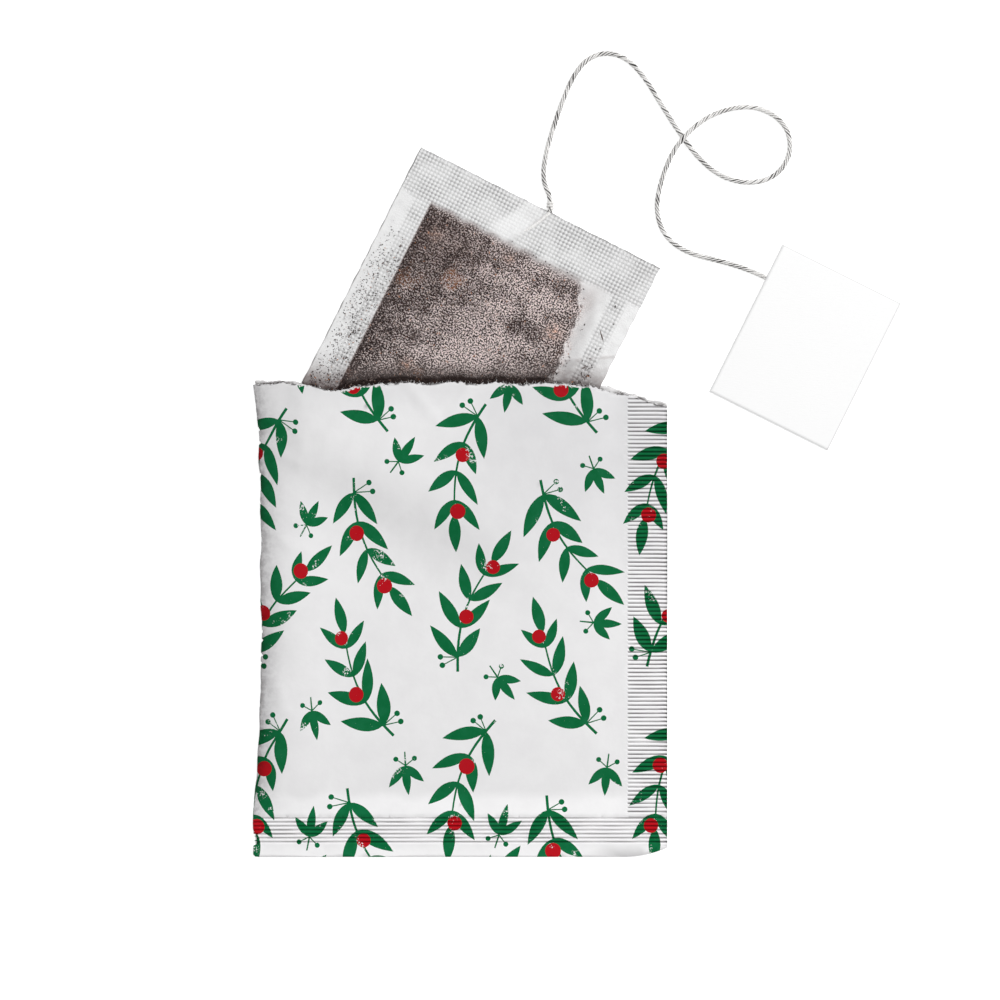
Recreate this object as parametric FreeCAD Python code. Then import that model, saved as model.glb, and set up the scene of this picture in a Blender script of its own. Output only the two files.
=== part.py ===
import FreeCAD
import Part
import math
import os

os.makedirs("parts", exist_ok=True)

# A tea bag lying in its torn-open paper envelope, with its string and card tag.
# Millimetres, +Z up. The origin is the middle of the envelope's flat underside.

# envelope
envelopeWidth = 72.0
envelopeHeight = 82.2        # bottom edge to the torn mouth
paper = 0.2                  # one wall
edgeGap = 0.3                # free height where the walls part from the seals and the fold
restGap = 0.35               # and how much more there is between them where nothing lies
sideSealWidth = 7.0
bottomSealWidth = 7.0
sealMargin = 2.1             # plain paper below the bottom seal's ribs
sideRibPitch = 0.71
bottomRibPitch = 0.69
bottomRibs = 7
ribDepth = 0.15
cornerRise = 1.6             # how far the bottom edge climbs at the sealed corner
cornerReach = 7.5            # over this much of its width

# torn edge
tearDip = 1.3
tearDipPlace = 0.2           # its place, as a share of the width from the fold
tearDipReach = 4.5
tearFall = 4.2               # drop at the sealed side
tearFallReach = 18.0
backTearRise = 0.6           # the back wall is torn a little higher
tearPitch = 0.75             # spacing of the ragged edge's points
tearWaves = [(0.22, 1.9, 0.0), (0.16, 4.3, 1.0), (0.1, 7.7, 2.0)]      # height, rate, phase
backTearWaves = [(0.3, 0.8, 1.0), (0.15, 3.1, 0.0)]

# tea bag
bagPlay = 18.05              # how much narrower it is than the envelope's inside
bagLength = 58.0
bagTilt = 26.85              # degrees, leaning towards +X
bagSideGap = 2.7             # its lower corner to the fold
bagDepth = 10.6              # and from the mouth down to that corner
bagEdge = 0.3                # two layers of embossed filter paper
leftSeam = 5.6
rightSeam = 4.8
topSeal = 7.5
bottomSeal = 4.5
bagRest = 0.08               # left free under it
bagDropReach = 10.0          # it comes down off the back wall over this length
seamHeight = 1.0             # the seams' height beside the filled part
seamSag = 0.5                # how much they hang towards the outer edge
bagRise = 2.9                # the filled part above the seams
bagStep = 2.2                # spacing of the points that its sides pass through

# the front wall's swelling over the bag
bulgeClearance = 0.1
bulgeNarrower = 1.3          # than the bag, on each side
bulgeStart = -0.5
bulgeSoft = 2.5
foldFade = 8.0
sealFade = 7.0
bottomFade = 14.0

# tag
tagWidth = 23.2
tagLength = 28.8
tagThickness = 0.5
tagCorner = 0.4
tagTilt = 26.5
tagPlace = (60.0, 47.4)
tagStringDrop = 6.6          # string to the tag's upper corner, along its side

# string
stringDiameter = 0.9
floorGap = 0.02
stringPlace = 1.8            # where it leaves the bag's upper edge, from the middle
stringLead = 3.0             # straight length into the tag's side

halfWidth = envelopeWidth / 2
halfHeight = envelopeHeight / 2
foldRadius = paper + edgeGap / 2
sealHeight = 2 * paper + edgeGap
chamberLeft = foldRadius - halfWidth
chamberRight = halfWidth - sideSealWidth
chamberBottom = bottomSealWidth - halfHeight
overMouth = halfHeight + 4.0         # the walls are made this high, then torn
bagWidth = chamberRight - chamberLeft - bagPlay
bagUnder = paper + bagRest
stringFloor = stringDiameter / 2 + floorGap         # its centre where it lies flat
stringTop = stringFloor + 2 * stringDiameter        # its centre where it passes over itself
sheetBorder = 2.0
panelColumns = 22
panelRows = 24
cornerSteps = 8
cutHeight = 30.0


def vec(x, y, z=0.0):
    return FreeCAD.Vector(x, y, z)


def smooth(value):
    # 0 at and below 0, 1 at and above 1, level at both ends
    part = min(max(value, 0.0), 1.0)
    return part * part * (3 - 2 * part)


def spread(low, high, count):
    return [low + (high - low) * i / (count - 1) for i in range(count)]


def waves(x, terms):
    return sum(height * math.sin(rate * x + phase) for height, rate, phase in terms)


def surfaceFace(points):
    surface = Part.BSplineSurface()
    surface.interpolate(points)
    return surface.toShape()


def prism(points, low, high):
    # a closed outline in the XY plane, made solid from one height to another
    corners = [vec(x, y, low) for x, y in points]
    outline = Part.makePolygon(corners + corners[:1])
    return Part.Face(outline).extrude(vec(0, 0, high - low))


def turned(across, up, tilt):
    # a step across and up, in a frame that leans towards +X
    angle = math.radians(tilt)
    return (across * math.cos(angle) + up * math.sin(angle),
            up * math.cos(angle) - across * math.sin(angle))


# ---- places that the tea bag, the envelope and the string share ----

def bagPoint(across, along, z=0.0):
    # across from its middle line, along from its lower end
    x, y = turned(across + bagWidth / 2, along, bagTilt)
    return vec(chamberLeft + bagSideGap + x, halfHeight - bagDepth + y, z)


def inBag(x, y):
    corner = bagPoint(-bagWidth / 2, 0)
    across, along = turned(x - corner.x, y - corner.y, -bagTilt)
    return across - bagWidth / 2, along


def bagOutline(low, high):
    # a band of the bag's outline, from one distance along it to another
    reach = bagWidth / 2
    places = [bagPoint(-reach, low), bagPoint(reach, low), bagPoint(reach, high), bagPoint(-reach, high)]
    return prism([(place.x, place.y) for place in places], -1, cutHeight)


def fillShare(across, along):
    # 1 over the middle of the filled part, 0 on the seams
    left = leftSeam - bagWidth / 2
    right = bagWidth / 2 - rightSeam
    high = bagLength - topSeal
    s = (2 * across - left - right) / (right - left)
    t = (2 * along - bottomSeal - high) / (high - bottomSeal)
    return (max(0.0, 1 - s ** 4) * max(0.0, 1 - t ** 4)) ** 1.5


def outsideFill(across, along):
    # distance out from the filled part, over the seams
    left = leftSeam - bagWidth / 2 - across
    right = across - bagWidth / 2 + rightSeam
    high = along - bagLength + topSeal
    return max(left, right, bottomSeal - along, high, 0.0)


def bagLevel(y):
    # height of the bag's underside: it steps down off the envelope's back wall
    return bagUnder - paper * smooth((y - halfHeight) / bagDropReach)


# ---- envelope ----

def tear(x):
    place = tearDipPlace * envelopeWidth - halfWidth
    dip = tearDip * math.exp(-((x - place) / tearDipReach) ** 2)
    share = max(0.0, (x - halfWidth + tearFallReach) / tearFallReach)
    return halfHeight - dip - tearFall * share ** 1.5 + waves(x, tearWaves)


def backTear(x):
    return tear(x) + backTearRise + waves(x, backTearWaves)


def aboveTear(edge):
    count = int(envelopeWidth / tearPitch) + 2
    points = [(x, edge(x)) for x in spread(-halfWidth - 1, halfWidth + 1, count)]
    points += [(halfWidth + 1, overMouth + 1), (-halfWidth - 1, overMouth + 1)]
    return prism(points, -1, cutHeight)


def belowCorner():
    start = halfWidth - cornerReach
    steps = [i / cornerSteps for i in range(cornerSteps + 1)]
    points = [(start + cornerReach * step, cornerRise * step ** 2 - halfHeight) for step in steps]
    points += [(halfWidth + 1, points[-1][1]), (halfWidth + 1, -halfHeight - 1), (start, -halfHeight - 1)]
    return prism(points, -1, cutHeight)


def wallGap(x, y):
    # free height between the two walls
    across, along = inBag(x, y)
    over = 1 / (1 + (across / (bagWidth / 2 - bulgeNarrower)) ** 6)
    begun = 1 / (1 + math.exp((bulgeStart - along) / bulgeSoft))
    fade = smooth((x - chamberLeft) / foldFade) * smooth((chamberRight - x) / sealFade)
    fade *= smooth((y - chamberBottom) / bottomFade)
    full = seamHeight + bagEdge / 2 + bagRise - paper - edgeGap + bulgeClearance
    return edgeGap + fade * (restGap + full * over * begun)


def frontWall():
    rows = []
    for x in spread(chamberLeft, chamberRight, panelColumns):
        rows.append([vec(x, y, paper + wallGap(x, y))
                     for y in spread(chamberBottom, overMouth, panelRows)])
    return surfaceFace(rows).extrude(vec(0, 0, paper))


def backWall():
    corners = [(chamberLeft, chamberBottom), (chamberRight, chamberBottom),
               (chamberRight, overMouth), (chamberLeft, overMouth)]
    return prism(corners, 0, paper)


def fold():
    # the walls are one sheet, bent round along the left side
    x = chamberLeft
    innerTop = sealHeight - paper
    outer = Part.Arc(vec(x, 0, 0), vec(x - foldRadius, 0, foldRadius), vec(x, 0, sealHeight))
    inner = Part.Arc(vec(x, 0, innerTop), vec(x - edgeGap / 2, 0, foldRadius), vec(x, 0, paper))
    edges = [outer.toShape(), Part.makeLine(vec(x, 0, sealHeight), vec(x, 0, innerTop)),
             inner.toShape(), Part.makeLine(vec(x, 0, paper), vec(x, 0, 0))]
    section = Part.Face(Part.Wire(edges))
    section.translate(vec(0, chamberBottom, 0))
    return section.extrude(vec(0, overMouth - chamberBottom, 0))


def ribbedStrip(x, width, low, high, firstRib, ribs, pitch):
    # a crimped seal, its ribs running along X
    valley = sealHeight - ribDepth
    corners = [vec(x, high, 0), vec(x, low, 0), vec(x, low, valley)]
    for i in range(ribs):
        foot = firstRib + i * pitch
        corners.append(vec(x, foot, valley))
        corners.append(vec(x, foot + 0.25 * pitch, sealHeight))
        corners.append(vec(x, foot + 0.5 * pitch, sealHeight))
        corners.append(vec(x, foot + 0.75 * pitch, valley))
    corners.append(vec(x, high, valley))
    return Part.Face(Part.makePolygon(corners + corners[:1])).extrude(vec(width, 0, 0))


def makeEnvelope():
    sideRibs = int((overMouth - chamberBottom) / sideRibPitch) - 1
    sideSeal = ribbedStrip(chamberRight, sideSealWidth, chamberBottom, overMouth,
                           chamberBottom + sideRibPitch / 2, sideRibs, sideRibPitch)
    lowerSeal = ribbedStrip(-halfWidth, envelopeWidth, -halfHeight, chamberBottom,
                            sealMargin - halfHeight, bottomRibs, bottomRibPitch)
    torn = aboveTear(tear)
    pieces = [piece.cut(torn) for piece in (frontWall(), fold(), sideSeal)]
    pieces.append(lowerSeal.cut(belowCorner()))
    return backWall().cut(aboveTear(backTear)).fuse(pieces).removeSplitter()


# ---- tea bag ----

def bagSheet(border, height):
    # one side of the bag, reaching past its outline by the border
    rows = []
    innerAcross = spread(-bagWidth / 2, bagWidth / 2, int(bagWidth / bagStep))
    innerAlong = spread(0.0, bagLength, int(bagLength / bagStep))
    for across in [innerAcross[0] - border] + innerAcross + [innerAcross[-1] + border]:
        row = []
        for along in [-border] + innerAlong + [bagLength + border]:
            level = bagLevel(bagPoint(across, along).y)
            row.append(bagPoint(across, along, level + height(across, along)))
        rows.append(row)
    return surfaceFace(rows)


def seamLine(across, along):
    # the seams' middle above the bag's underside
    out = smooth(outsideFill(across, along) / leftSeam)
    return seamHeight - bagUnder - seamSag * out


def bagTop(across, along):
    return seamLine(across, along) + bagEdge / 2 + bagRise * fillShare(across, along)


def bagBottom(across, along):
    rest = seamLine(across, along) - bagEdge / 2
    return rest * (1 - smooth(1.6 * fillShare(across, along)))


def makeTeaBag():
    # both sides reach past the outline, which then trims them
    upper = bagSheet(sheetBorder, bagTop).extrude(vec(0, 0, -cutHeight))
    lower = bagSheet(sheetBorder + 1, bagBottom).extrude(vec(0, 0, -2 * cutHeight))
    return bagOutline(0, bagLength).common(upper.cut(lower))


# ---- tag ----

def tagPoint(across, along, z=0.0):
    # across and along from its middle
    x, y = turned(across, along, tagTilt)
    return vec(tagPlace[0] + x, tagPlace[1] + y, z)


def makeTag():
    signs = [(-1, -1), (1, -1), (1, 1), (-1, 1)]
    corners = [tagPoint(a * tagWidth / 2, b * tagLength / 2) for a, b in signs]
    card = Part.Face(Part.makePolygon(corners + corners[:1])).extrude(vec(0, 0, tagThickness))
    upright = [edge for edge in card.Edges if abs(edge.tangentAt(edge.FirstParameter).z) > 0.9]
    return card.makeFillet(tagCorner, upright)


# ---- string ----

def stringRoute():
    # from the bag's upper edge, round its loop and back over itself, to the tag's side
    low = stringFloor
    top = stringTop
    rising = low + 0.3 * (top - low)
    nearTop = low + 0.65 * (top - low)
    side = tagLength / 2 - tagStringDrop
    free = [(15.9, 73.3, low), (14.4, 76.3, low), (14.8, 80.8, low), (17.1, 88.4, low),
            (20.1, 95.6, low), (23.6, 98.6, low), (28.0, 98.4, low), (31.8, 95.0, low),
            (36.2, 87.6, low), (40.9, 80.8, low), (45.0, 77.2, low), (50.0, 75.8, low),
            (54.7, 76.9, low), (57.5, 80.6, low), (57.2, 85.3, low), (54.0, 88.4, low),
            (49.6, 89.4, rising), (44.6, 88.2, nearTop), (40.8, 85.9, top),
            (37.1, 81.8, top), (34.9, 76.4, rising), (34.0, 71.3, low), (35.4, 66.9, low),
            (39.2, 63.9, low), (45.4, 62.4, low)]
    return ([bagPoint(stringPlace, bagLength, low)] + [vec(x, y, z) for x, y, z in free]
            + [tagPoint(-tagWidth / 2 - stringLead, side, low), tagPoint(-tagWidth / 2, side, low)])


def roundedPath(points):
    # straight runs joined by arcs that touch them
    edges = []
    radii = []
    last = points[0]
    for before, corner, after in zip(points, points[1:], points[2:]):
        back = (before - corner).normalize()
        ahead = (after - corner).normalize()
        reach = 0.45 * min((before - corner).Length, (after - corner).Length)
        halfTurn = (math.pi - back.getAngle(ahead)) / 2
        radius = reach / math.tan(halfTurn)
        inward = (back + ahead).normalize()
        middle = corner + inward * (radius / math.cos(halfTurn) - radius)
        arcEnd = corner + ahead * reach
        edges.append(Part.makeLine(last, corner + back * reach))
        edges.append(Part.Arc(corner + back * reach, middle, arcEnd).toShape())
        radii.append(radius)
        last = arcEnd
    edges.append(Part.makeLine(last, points[-1]))
    return Part.Wire(edges), radii


def makeString():
    route = stringRoute()
    firstRun = (route[1] - route[0]).normalize()
    # the tube begins inside the seal and is cut off flush with the bag's upper edge
    begun = [route[0] - firstRun * stringDiameter] + route[1:]
    path, radii = roundedPath(begun)
    section = Part.Wire(Part.makeCircle(stringDiameter / 2, begun[0], firstRun))
    tube = path.makePipeShell([section], True, False)
    area = math.pi * stringDiameter ** 2 / 4
    print("string radii", " ".join("%.1f" % radius for radius in radii))
    print("string volume %.2f, section times length %.2f" % (tube.Volume, area * path.Length))
    print("string length %.1f" % (path.Length - stringDiameter))
    return tube.cut(bagOutline(bagLength - topSeal, bagLength))


makers = {"envelope": makeEnvelope, "tea_bag": makeTeaBag, "string": makeString, "tag": makeTag}

for node, maker in makers.items():
    shape = maker()
    print(node, "solids", len(shape.Solids), "valid", shape.isValid(), "volume %.1f" % shape.Volume)
    shape.Solids[0].exportStep("parts/%s.step" % node)
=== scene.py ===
import math
import bpy
import numpy as np
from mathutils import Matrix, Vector, geometry


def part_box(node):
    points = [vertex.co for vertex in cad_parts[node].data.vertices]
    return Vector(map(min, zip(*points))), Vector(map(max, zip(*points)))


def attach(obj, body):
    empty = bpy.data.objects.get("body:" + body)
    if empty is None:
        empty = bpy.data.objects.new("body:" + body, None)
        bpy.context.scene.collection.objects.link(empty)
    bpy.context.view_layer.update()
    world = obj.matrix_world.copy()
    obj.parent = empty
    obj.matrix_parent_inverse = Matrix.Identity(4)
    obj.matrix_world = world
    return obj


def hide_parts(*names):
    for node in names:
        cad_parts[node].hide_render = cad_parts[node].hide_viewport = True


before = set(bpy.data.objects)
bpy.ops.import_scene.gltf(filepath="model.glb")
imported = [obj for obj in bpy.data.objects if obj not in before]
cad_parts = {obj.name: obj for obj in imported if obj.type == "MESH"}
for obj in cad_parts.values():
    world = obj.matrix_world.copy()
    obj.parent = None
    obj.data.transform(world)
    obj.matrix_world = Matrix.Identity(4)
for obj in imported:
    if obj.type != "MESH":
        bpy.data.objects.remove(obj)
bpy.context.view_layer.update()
mm = 0.001          # lengths below are in millimetres unless a name says otherwise


def smooth(value):
    part = np.clip(value, 0.0, 1.0)
    return part * part * (3 - 2 * part)


def ripple(x, y, size, seed, waves=10):
    # an uneven, smooth field of about -1 to 1 whose features are this large
    rng = np.random.default_rng(seed)
    total = np.zeros_like(np.asarray(x, dtype=float))
    for i in range(waves):
        angle = rng.uniform(0, 2 * math.pi)
        rate = 2 * math.pi / (size * rng.uniform(0.7, 1.7))
        total += np.sin((x * math.cos(angle) + y * math.sin(angle)) * rate + rng.uniform(0, 6.3))
    return total / (1.2 * math.sqrt(waves))


def boxOf(node):
    low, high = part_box(node)
    return [value / mm for value in low], [value / mm for value in high]


def intoScene(name, data):
    piece = bpy.data.objects.new(name, data)
    bpy.context.scene.collection.objects.link(piece)
    return piece


def meshPiece(name, points, faces, material, node=None, smoothShade=True):
    # points in millimetres; the piece rides on the one body there is
    mesh = bpy.data.meshes.new(name)
    mesh.from_pydata([tuple(point) for point in np.asarray(points) * mm], [], [tuple(face) for face in faces])
    mesh.validate()
    piece = intoScene(name, mesh)
    if smoothShade:
        mesh.shade_smooth()
    mesh.materials.append(material)
    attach(piece, "root")
    if node:
        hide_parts(node)
    return piece


def gridFaces(rows, columns, offset=0, flip=False):
    index = np.arange(rows * columns).reshape(rows, columns) + offset
    quads = np.stack([index[:-1, :-1], index[1:, :-1], index[1:, 1:], index[:-1, 1:]], axis=-1).reshape(-1, 4)
    return quads[:, ::-1] if flip else quads


def closedSheets(top, bottom):
    # two grids of points with one outline, joined round their rim into one closed surface
    rows, columns = top.shape[:2]
    count = rows * columns
    points = np.concatenate([top.reshape(-1, 3), bottom.reshape(-1, 3)])
    faces = list(gridFaces(rows, columns)) + list(gridFaces(rows, columns, count, True))
    index = np.arange(count).reshape(rows, columns)
    rim = list(index[0, :]) + list(index[1:, -1]) + list(index[-1, -2::-1]) + list(index[-2:0:-1, 0])
    for a, b in zip(rim, rim[1:] + rim[:1]):
        faces.append((a, b, b + count, a + count))
    return points, faces


def leaningFrame(node, tilt):
    # a leaning rectangle's lower left corner, width and length, worked out from its box
    low, high = boxOf(node)
    c = math.cos(math.radians(tilt))
    s = math.sin(math.radians(tilt))
    wide = high[0] - low[0]
    tall = high[1] - low[1]
    width = (wide * c - tall * s) / (c * c - s * s)
    length = (tall * c - wide * s) / (c * c - s * s)
    return {"x": low[0], "y": low[1] + width * s, "width": width, "length": length, "c": c, "s": s}


def leanOut(lean, across, along):
    x = lean["x"] + across * lean["c"] + along * lean["s"]
    y = lean["y"] - across * lean["s"] + along * lean["c"]
    return x, y


def leanIn(lean, x, y):
    dx = x - lean["x"]
    dy = y - lean["y"]
    return dx * lean["c"] - dy * lean["s"], dx * lean["s"] + dy * lean["c"]


def addAttribute(piece, name, *values):
    # one number or three for each point; values for one skin of a closed sheet serve the other skin too
    kind, key = ("FLOAT", "value") if len(values) == 1 else ("FLOAT_VECTOR", "vector")
    table = np.stack([np.ravel(value) for value in values], -1)
    if 2 * len(table) == len(piece.data.vertices):
        table = np.concatenate([table, table])
    attribute = piece.data.attributes.new(name, kind, "POINT")
    attribute.data.foreach_set(key, table.astype(np.float32).ravel())


cameraView = {"span": 0.1739, "x": 0.00696, "y": 0.0209, "distance": 0.62, "sensor": 36.0}


def makeCamera():
    data = bpy.data.cameras.new("camera")
    data.sensor_width = cameraView["sensor"]
    data.lens = cameraView["sensor"] * cameraView["distance"] / cameraView["span"]
    data.clip_start = 0.01
    data.clip_end = 20
    camera = intoScene("camera", data)
    camera.location = (cameraView["x"], cameraView["y"], cameraView["distance"])
    bpy.context.scene.camera = camera


makeCamera()

stringLook = {
    "diameter": 0.9, "floor": 0.47, "top": 2.27, "strands": 5, "strandRadius": 0.17, "turn": -4.0,
    "step": 0.2, "sides": 7, "knotTurns": 2.2, "knotLength": 1.1, "knotRadius": 0.52, "knotThread": 0.19,
    "colour": (0.93, 0.92, 0.905, 1), "shade": (0.62, 0.605, 0.59, 1), "grooveShade": (0.055, 0.05, 0.048, 1),
}

low = stringLook["floor"]
top = stringLook["top"]
rising = low + 0.3 * (top - low)
nearTop = low + 0.65 * (top - low)
stringRoute = [
    (15.64, 70.91, low), (15.9, 73.3, low), (14.4, 76.3, low), (14.8, 80.8, low), (17.1, 88.4, low),
    (20.1, 95.6, low), (23.6, 98.6, low), (28.0, 98.4, low), (31.8, 95.0, low), (36.2, 87.6, low),
    (40.9, 80.8, low), (45.0, 77.2, low), (50.0, 75.8, low), (54.7, 76.9, low), (57.5, 80.6, low),
    (57.2, 85.3, low), (54.0, 88.4, low), (49.6, 89.4, rising), (44.6, 88.2, nearTop), (40.8, 85.9, top),
    (37.1, 81.8, top), (34.9, 76.4, rising), (34.0, 71.3, low), (35.4, 66.9, low), (39.2, 63.9, low),
    (45.4, 62.4, low), (50.414, 60.895, low), (53.099, 59.556, low),
]


def splinePoints(name, route, step):
    # a smooth line through the route's bends, read back as evenly spaced points
    data = bpy.data.curves.new(name, "CURVE")
    data.dimensions = "3D"
    data.resolution_u = 16
    spline = data.splines.new("NURBS")
    spline.points.add(len(route) - 1)
    for point, place in zip(spline.points, route):
        point.co = (place[0] * mm, place[1] * mm, place[2] * mm, 1)
    spline.order_u = 3
    spline.use_endpoint_u = True
    holder = bpy.data.objects.new(name, data)
    line = bpy.data.meshes.new_from_object(holder)
    raw = np.array([vertex.co[:] for vertex in line.vertices]) / mm
    bpy.data.objects.remove(holder)
    bpy.data.curves.remove(data)
    bpy.data.meshes.remove(line)
    lengths = np.concatenate([[0], np.cumsum(np.linalg.norm(np.diff(raw, axis=0), axis=1))])
    places = np.linspace(0, lengths[-1], int(lengths[-1] / step) + 1)
    return np.stack([np.interp(places, lengths, raw[:, k]) for k in range(3)], axis=1), lengths[-1]


def alongFrames(line):
    # tangents, and two side directions that turn as little as they can
    tangents = np.gradient(line, axis=0)
    tangents /= np.linalg.norm(tangents, axis=1)[:, None]
    sides = np.zeros_like(line)
    side = np.array([0.0, 0.0, 1.0])
    for i, tangent in enumerate(tangents):
        side = side - tangent * side.dot(tangent)
        side /= np.linalg.norm(side)
        sides[i] = side
    return tangents, sides, np.cross(tangents, sides)


def tubeAround(line, radius, sides):
    # a closed tube; the radius may change from point to point
    tangents, first, second = alongFrames(line)
    radius = np.broadcast_to(radius, len(line))
    angles = np.arange(sides) * 2 * math.pi / sides
    ring = first[:, None, :] * np.cos(angles)[None, :, None]
    ring = ring + second[:, None, :] * np.sin(angles)[None, :, None]
    points = (line[:, None, :] + ring * radius[:, None, None]).reshape(-1, 3)
    index = np.arange(len(points)).reshape(len(line), sides)
    after = np.roll(index, -1, axis=1)
    quads = np.stack([index[:-1], after[:-1], after[1:], index[1:]], axis=-1).reshape(-1, 4)
    faces = [tuple(quad) for quad in quads] + [tuple(index[0][::-1]), tuple(index[-1])]
    return points, faces


def twistedStrands(line, look):
    # each strand winds round the line; how far out each point lies is kept, to shade the grooves
    points = []
    faces = []
    depths = []
    tangents, first, second = alongFrames(line)
    run = np.arange(len(line)) * np.linalg.norm(line[1] - line[0])
    offset = look["diameter"] / 2 - look["strandRadius"]
    for k in range(look["strands"]):
        angle = run * 2 * math.pi / look["turn"] + k * 2 * math.pi / look["strands"]
        angle = angle + 0.25 * ripple(run, run * 0, 9.0, 40 + k)
        centre = line + offset * (first * np.cos(angle)[:, None] + second * np.sin(angle)[:, None])
        size = look["strandRadius"] * (1 + 0.06 * ripple(run, run * 0, 3.5, 50 + k))
        strandPoints, strandFaces = tubeAround(centre, size, look["sides"])
        base = sum(len(part) for part in points)
        points.append(strandPoints)
        depths.append(np.linalg.norm(strandPoints - np.repeat(line, look["sides"], axis=0), axis=1))
        faces += [tuple(v + base for v in face) for face in strandFaces]
    return np.concatenate(points), faces, np.concatenate(depths) / (look["diameter"] / 2)


def newMaterial(name, roughness, specular=0.5):
    material = bpy.data.materials.new(name)
    material.use_nodes = True
    shader = material.node_tree.nodes["Principled BSDF"]
    shader.inputs["Roughness"].default_value = roughness
    shader.inputs["Specular IOR Level"].default_value = specular
    return material, material.node_tree, shader


def feed(tree, sockets, values):
    # a value is a number, a colour or another node's output; None leaves the socket alone
    for socket, value in zip(sockets, values):
        if isinstance(value, bpy.types.NodeSocket):
            tree.links.new(value, socket)
        elif value is not None:
            socket.default_value = value


def readAttribute(tree, name, output="Fac"):
    node = tree.nodes.new("ShaderNodeAttribute")
    node.attribute_name = name
    return node.outputs[output]


def mathNode(tree, operation, a, b=None):
    node = tree.nodes.new("ShaderNodeMath")
    node.operation = operation
    feed(tree, node.inputs, (a, b))
    return node.outputs[0]


def times(tree, *values):
    total = values[0]
    for value in values[1:]:
        total = mathNode(tree, "MULTIPLY", total, value)
    return total


def vectorNode(tree, operation, *values):
    node = tree.nodes.new("ShaderNodeVectorMath")
    node.operation = operation
    feed(tree, node.inputs, values)
    return node.outputs[0]


def splitVector(tree, vector):
    node = tree.nodes.new("ShaderNodeSeparateXYZ")
    tree.links.new(vector, node.inputs[0])
    return node.outputs


def allThree(tree, number):
    # a vector with this number on every axis
    node = tree.nodes.new("ShaderNodeCombineXYZ")
    feed(tree, node.inputs, [number] * 3)
    return node.outputs[0]


def mixNumber(tree, factor, first, second):
    node = tree.nodes.new("ShaderNodeMix")
    feed(tree, node.inputs, (factor, None, first, second))
    return node.outputs[0]


def mixColour(tree, factor, first, second, blend="MIX"):
    node = tree.nodes.new("ShaderNodeMix")
    node.data_type = "RGBA"
    node.blend_type = blend
    feed(tree, (node.inputs[0], node.inputs[6], node.inputs[7]), (factor, first, second))
    return node.outputs[2]


def ramp(tree, value, low, high, start=0.0, end=1.0):
    # a soft step from start to end while the value goes from low to high
    node = tree.nodes.new("ShaderNodeMapRange")
    node.interpolation_type = "SMOOTHSTEP"
    feed(tree, node.inputs, (value, low, high, start, end))
    return node.outputs[0]


def millimetres(tree):
    # the place on the object, in millimetres
    coordinate = tree.nodes.new("ShaderNodeTexCoord")
    return vectorNode(tree, "SCALE", coordinate.outputs["Object"], None, None, 1 / mm)


def noiseAt(tree, vector, size, detail=2.0, roughness=0.5, output="Fac"):
    noise = tree.nodes.new("ShaderNodeTexNoise")
    noise.inputs["Scale"].default_value = 1 / size
    noise.inputs["Detail"].default_value = detail
    noise.inputs["Roughness"].default_value = roughness
    tree.links.new(vector, noise.inputs["Vector"])
    return noise.outputs[output]


def bumpInto(tree, shader, height, distance, strength=1.0):
    bump = tree.nodes.new("ShaderNodeBump")
    bump.inputs["Strength"].default_value = strength
    bump.inputs["Distance"].default_value = distance * mm
    tree.links.new(height, bump.inputs["Height"])
    tree.links.new(bump.outputs[0], shader.inputs["Normal"])


def makeGroup(name, vector, numbers, results):
    # an effect that materials share: a vector and some numbers go in, other numbers come out
    group = bpy.data.node_groups.new(name, "ShaderNodeTree")
    group.interface.new_socket(name=vector, in_out="INPUT", socket_type="NodeSocketVector")
    for label, value in numbers.items():
        socket = group.interface.new_socket(name=label, in_out="INPUT", socket_type="NodeSocketFloat")
        socket.default_value = value
    for label in results:
        group.interface.new_socket(name=label, in_out="OUTPUT", socket_type="NodeSocketFloat")
    return group, group.nodes.new("NodeGroupInput").outputs, group.nodes.new("NodeGroupOutput").inputs


def makePaperFibre():
    # crossing fibres and soft clouding, used by every paper here
    tree, given, result = makeGroup("paperFibre", "Vector", {"Size": 0.4}, ("Fibres", "Clouds"))
    scaled = vectorNode(tree, "DIVIDE", given["Vector"], allThree(tree, given["Size"]))
    total = None
    for turn, shift in ((0.4, 0.0), (1.7, 7.0), (2.6, 13.0)):
        mapping = tree.nodes.new("ShaderNodeMapping")
        mapping.inputs["Location"].default_value = (shift, shift, 0)
        mapping.inputs["Rotation"].default_value = (0, 0, turn)
        mapping.inputs["Scale"].default_value = (0.25, 1.9, 0.6)
        tree.links.new(scaled, mapping.inputs[0])
        strand = noiseAt(tree, mapping.outputs[0], 1.0, 2.0, 0.6)
        total = strand if total is None else mathNode(tree, "MAXIMUM", total, strand)
    tree.links.new(ramp(tree, total, 0.5, 0.8), result["Fibres"])
    tree.links.new(noiseAt(tree, scaled, 7.0, 3.0, 0.55), result["Clouds"])
    return tree


def makeGauze():
    # the embossed grid: little sunk squares between raised threads
    numbers = {"Pitch": 0.8, "Wander": 0.12}
    tree, given, result = makeGroup("gauzeEmboss", "Place", numbers, ("Holes", "Height"))
    drift = noiseAt(tree, given["Place"], 1 / 0.7, output="Color")
    bent = vectorNode(tree, "MULTIPLY_ADD", drift, allThree(tree, given["Wander"]), given["Place"])
    waves = []
    for part in splitVector(tree, bent)[:2]:
        turns = mathNode(tree, "DIVIDE", part, given["Pitch"])
        waves.append(mathNode(tree, "COSINE", times(tree, turns, 2 * math.pi)))
    both = times(tree, mathNode(tree, "ADD", *waves), 0.35)
    either = times(tree, mathNode(tree, "MAXIMUM", *waves), 0.30)
    total = mathNode(tree, "ADD", both, either)
    tree.links.new(ramp(tree, total, -0.15, 0.95), result["Holes"])
    tree.links.new(ramp(tree, total, -0.7, 0.7, 1.0, 0.0), result["Height"])
    return tree


paperFibre = makePaperFibre()
gauzeEmboss = makeGauze()


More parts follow.
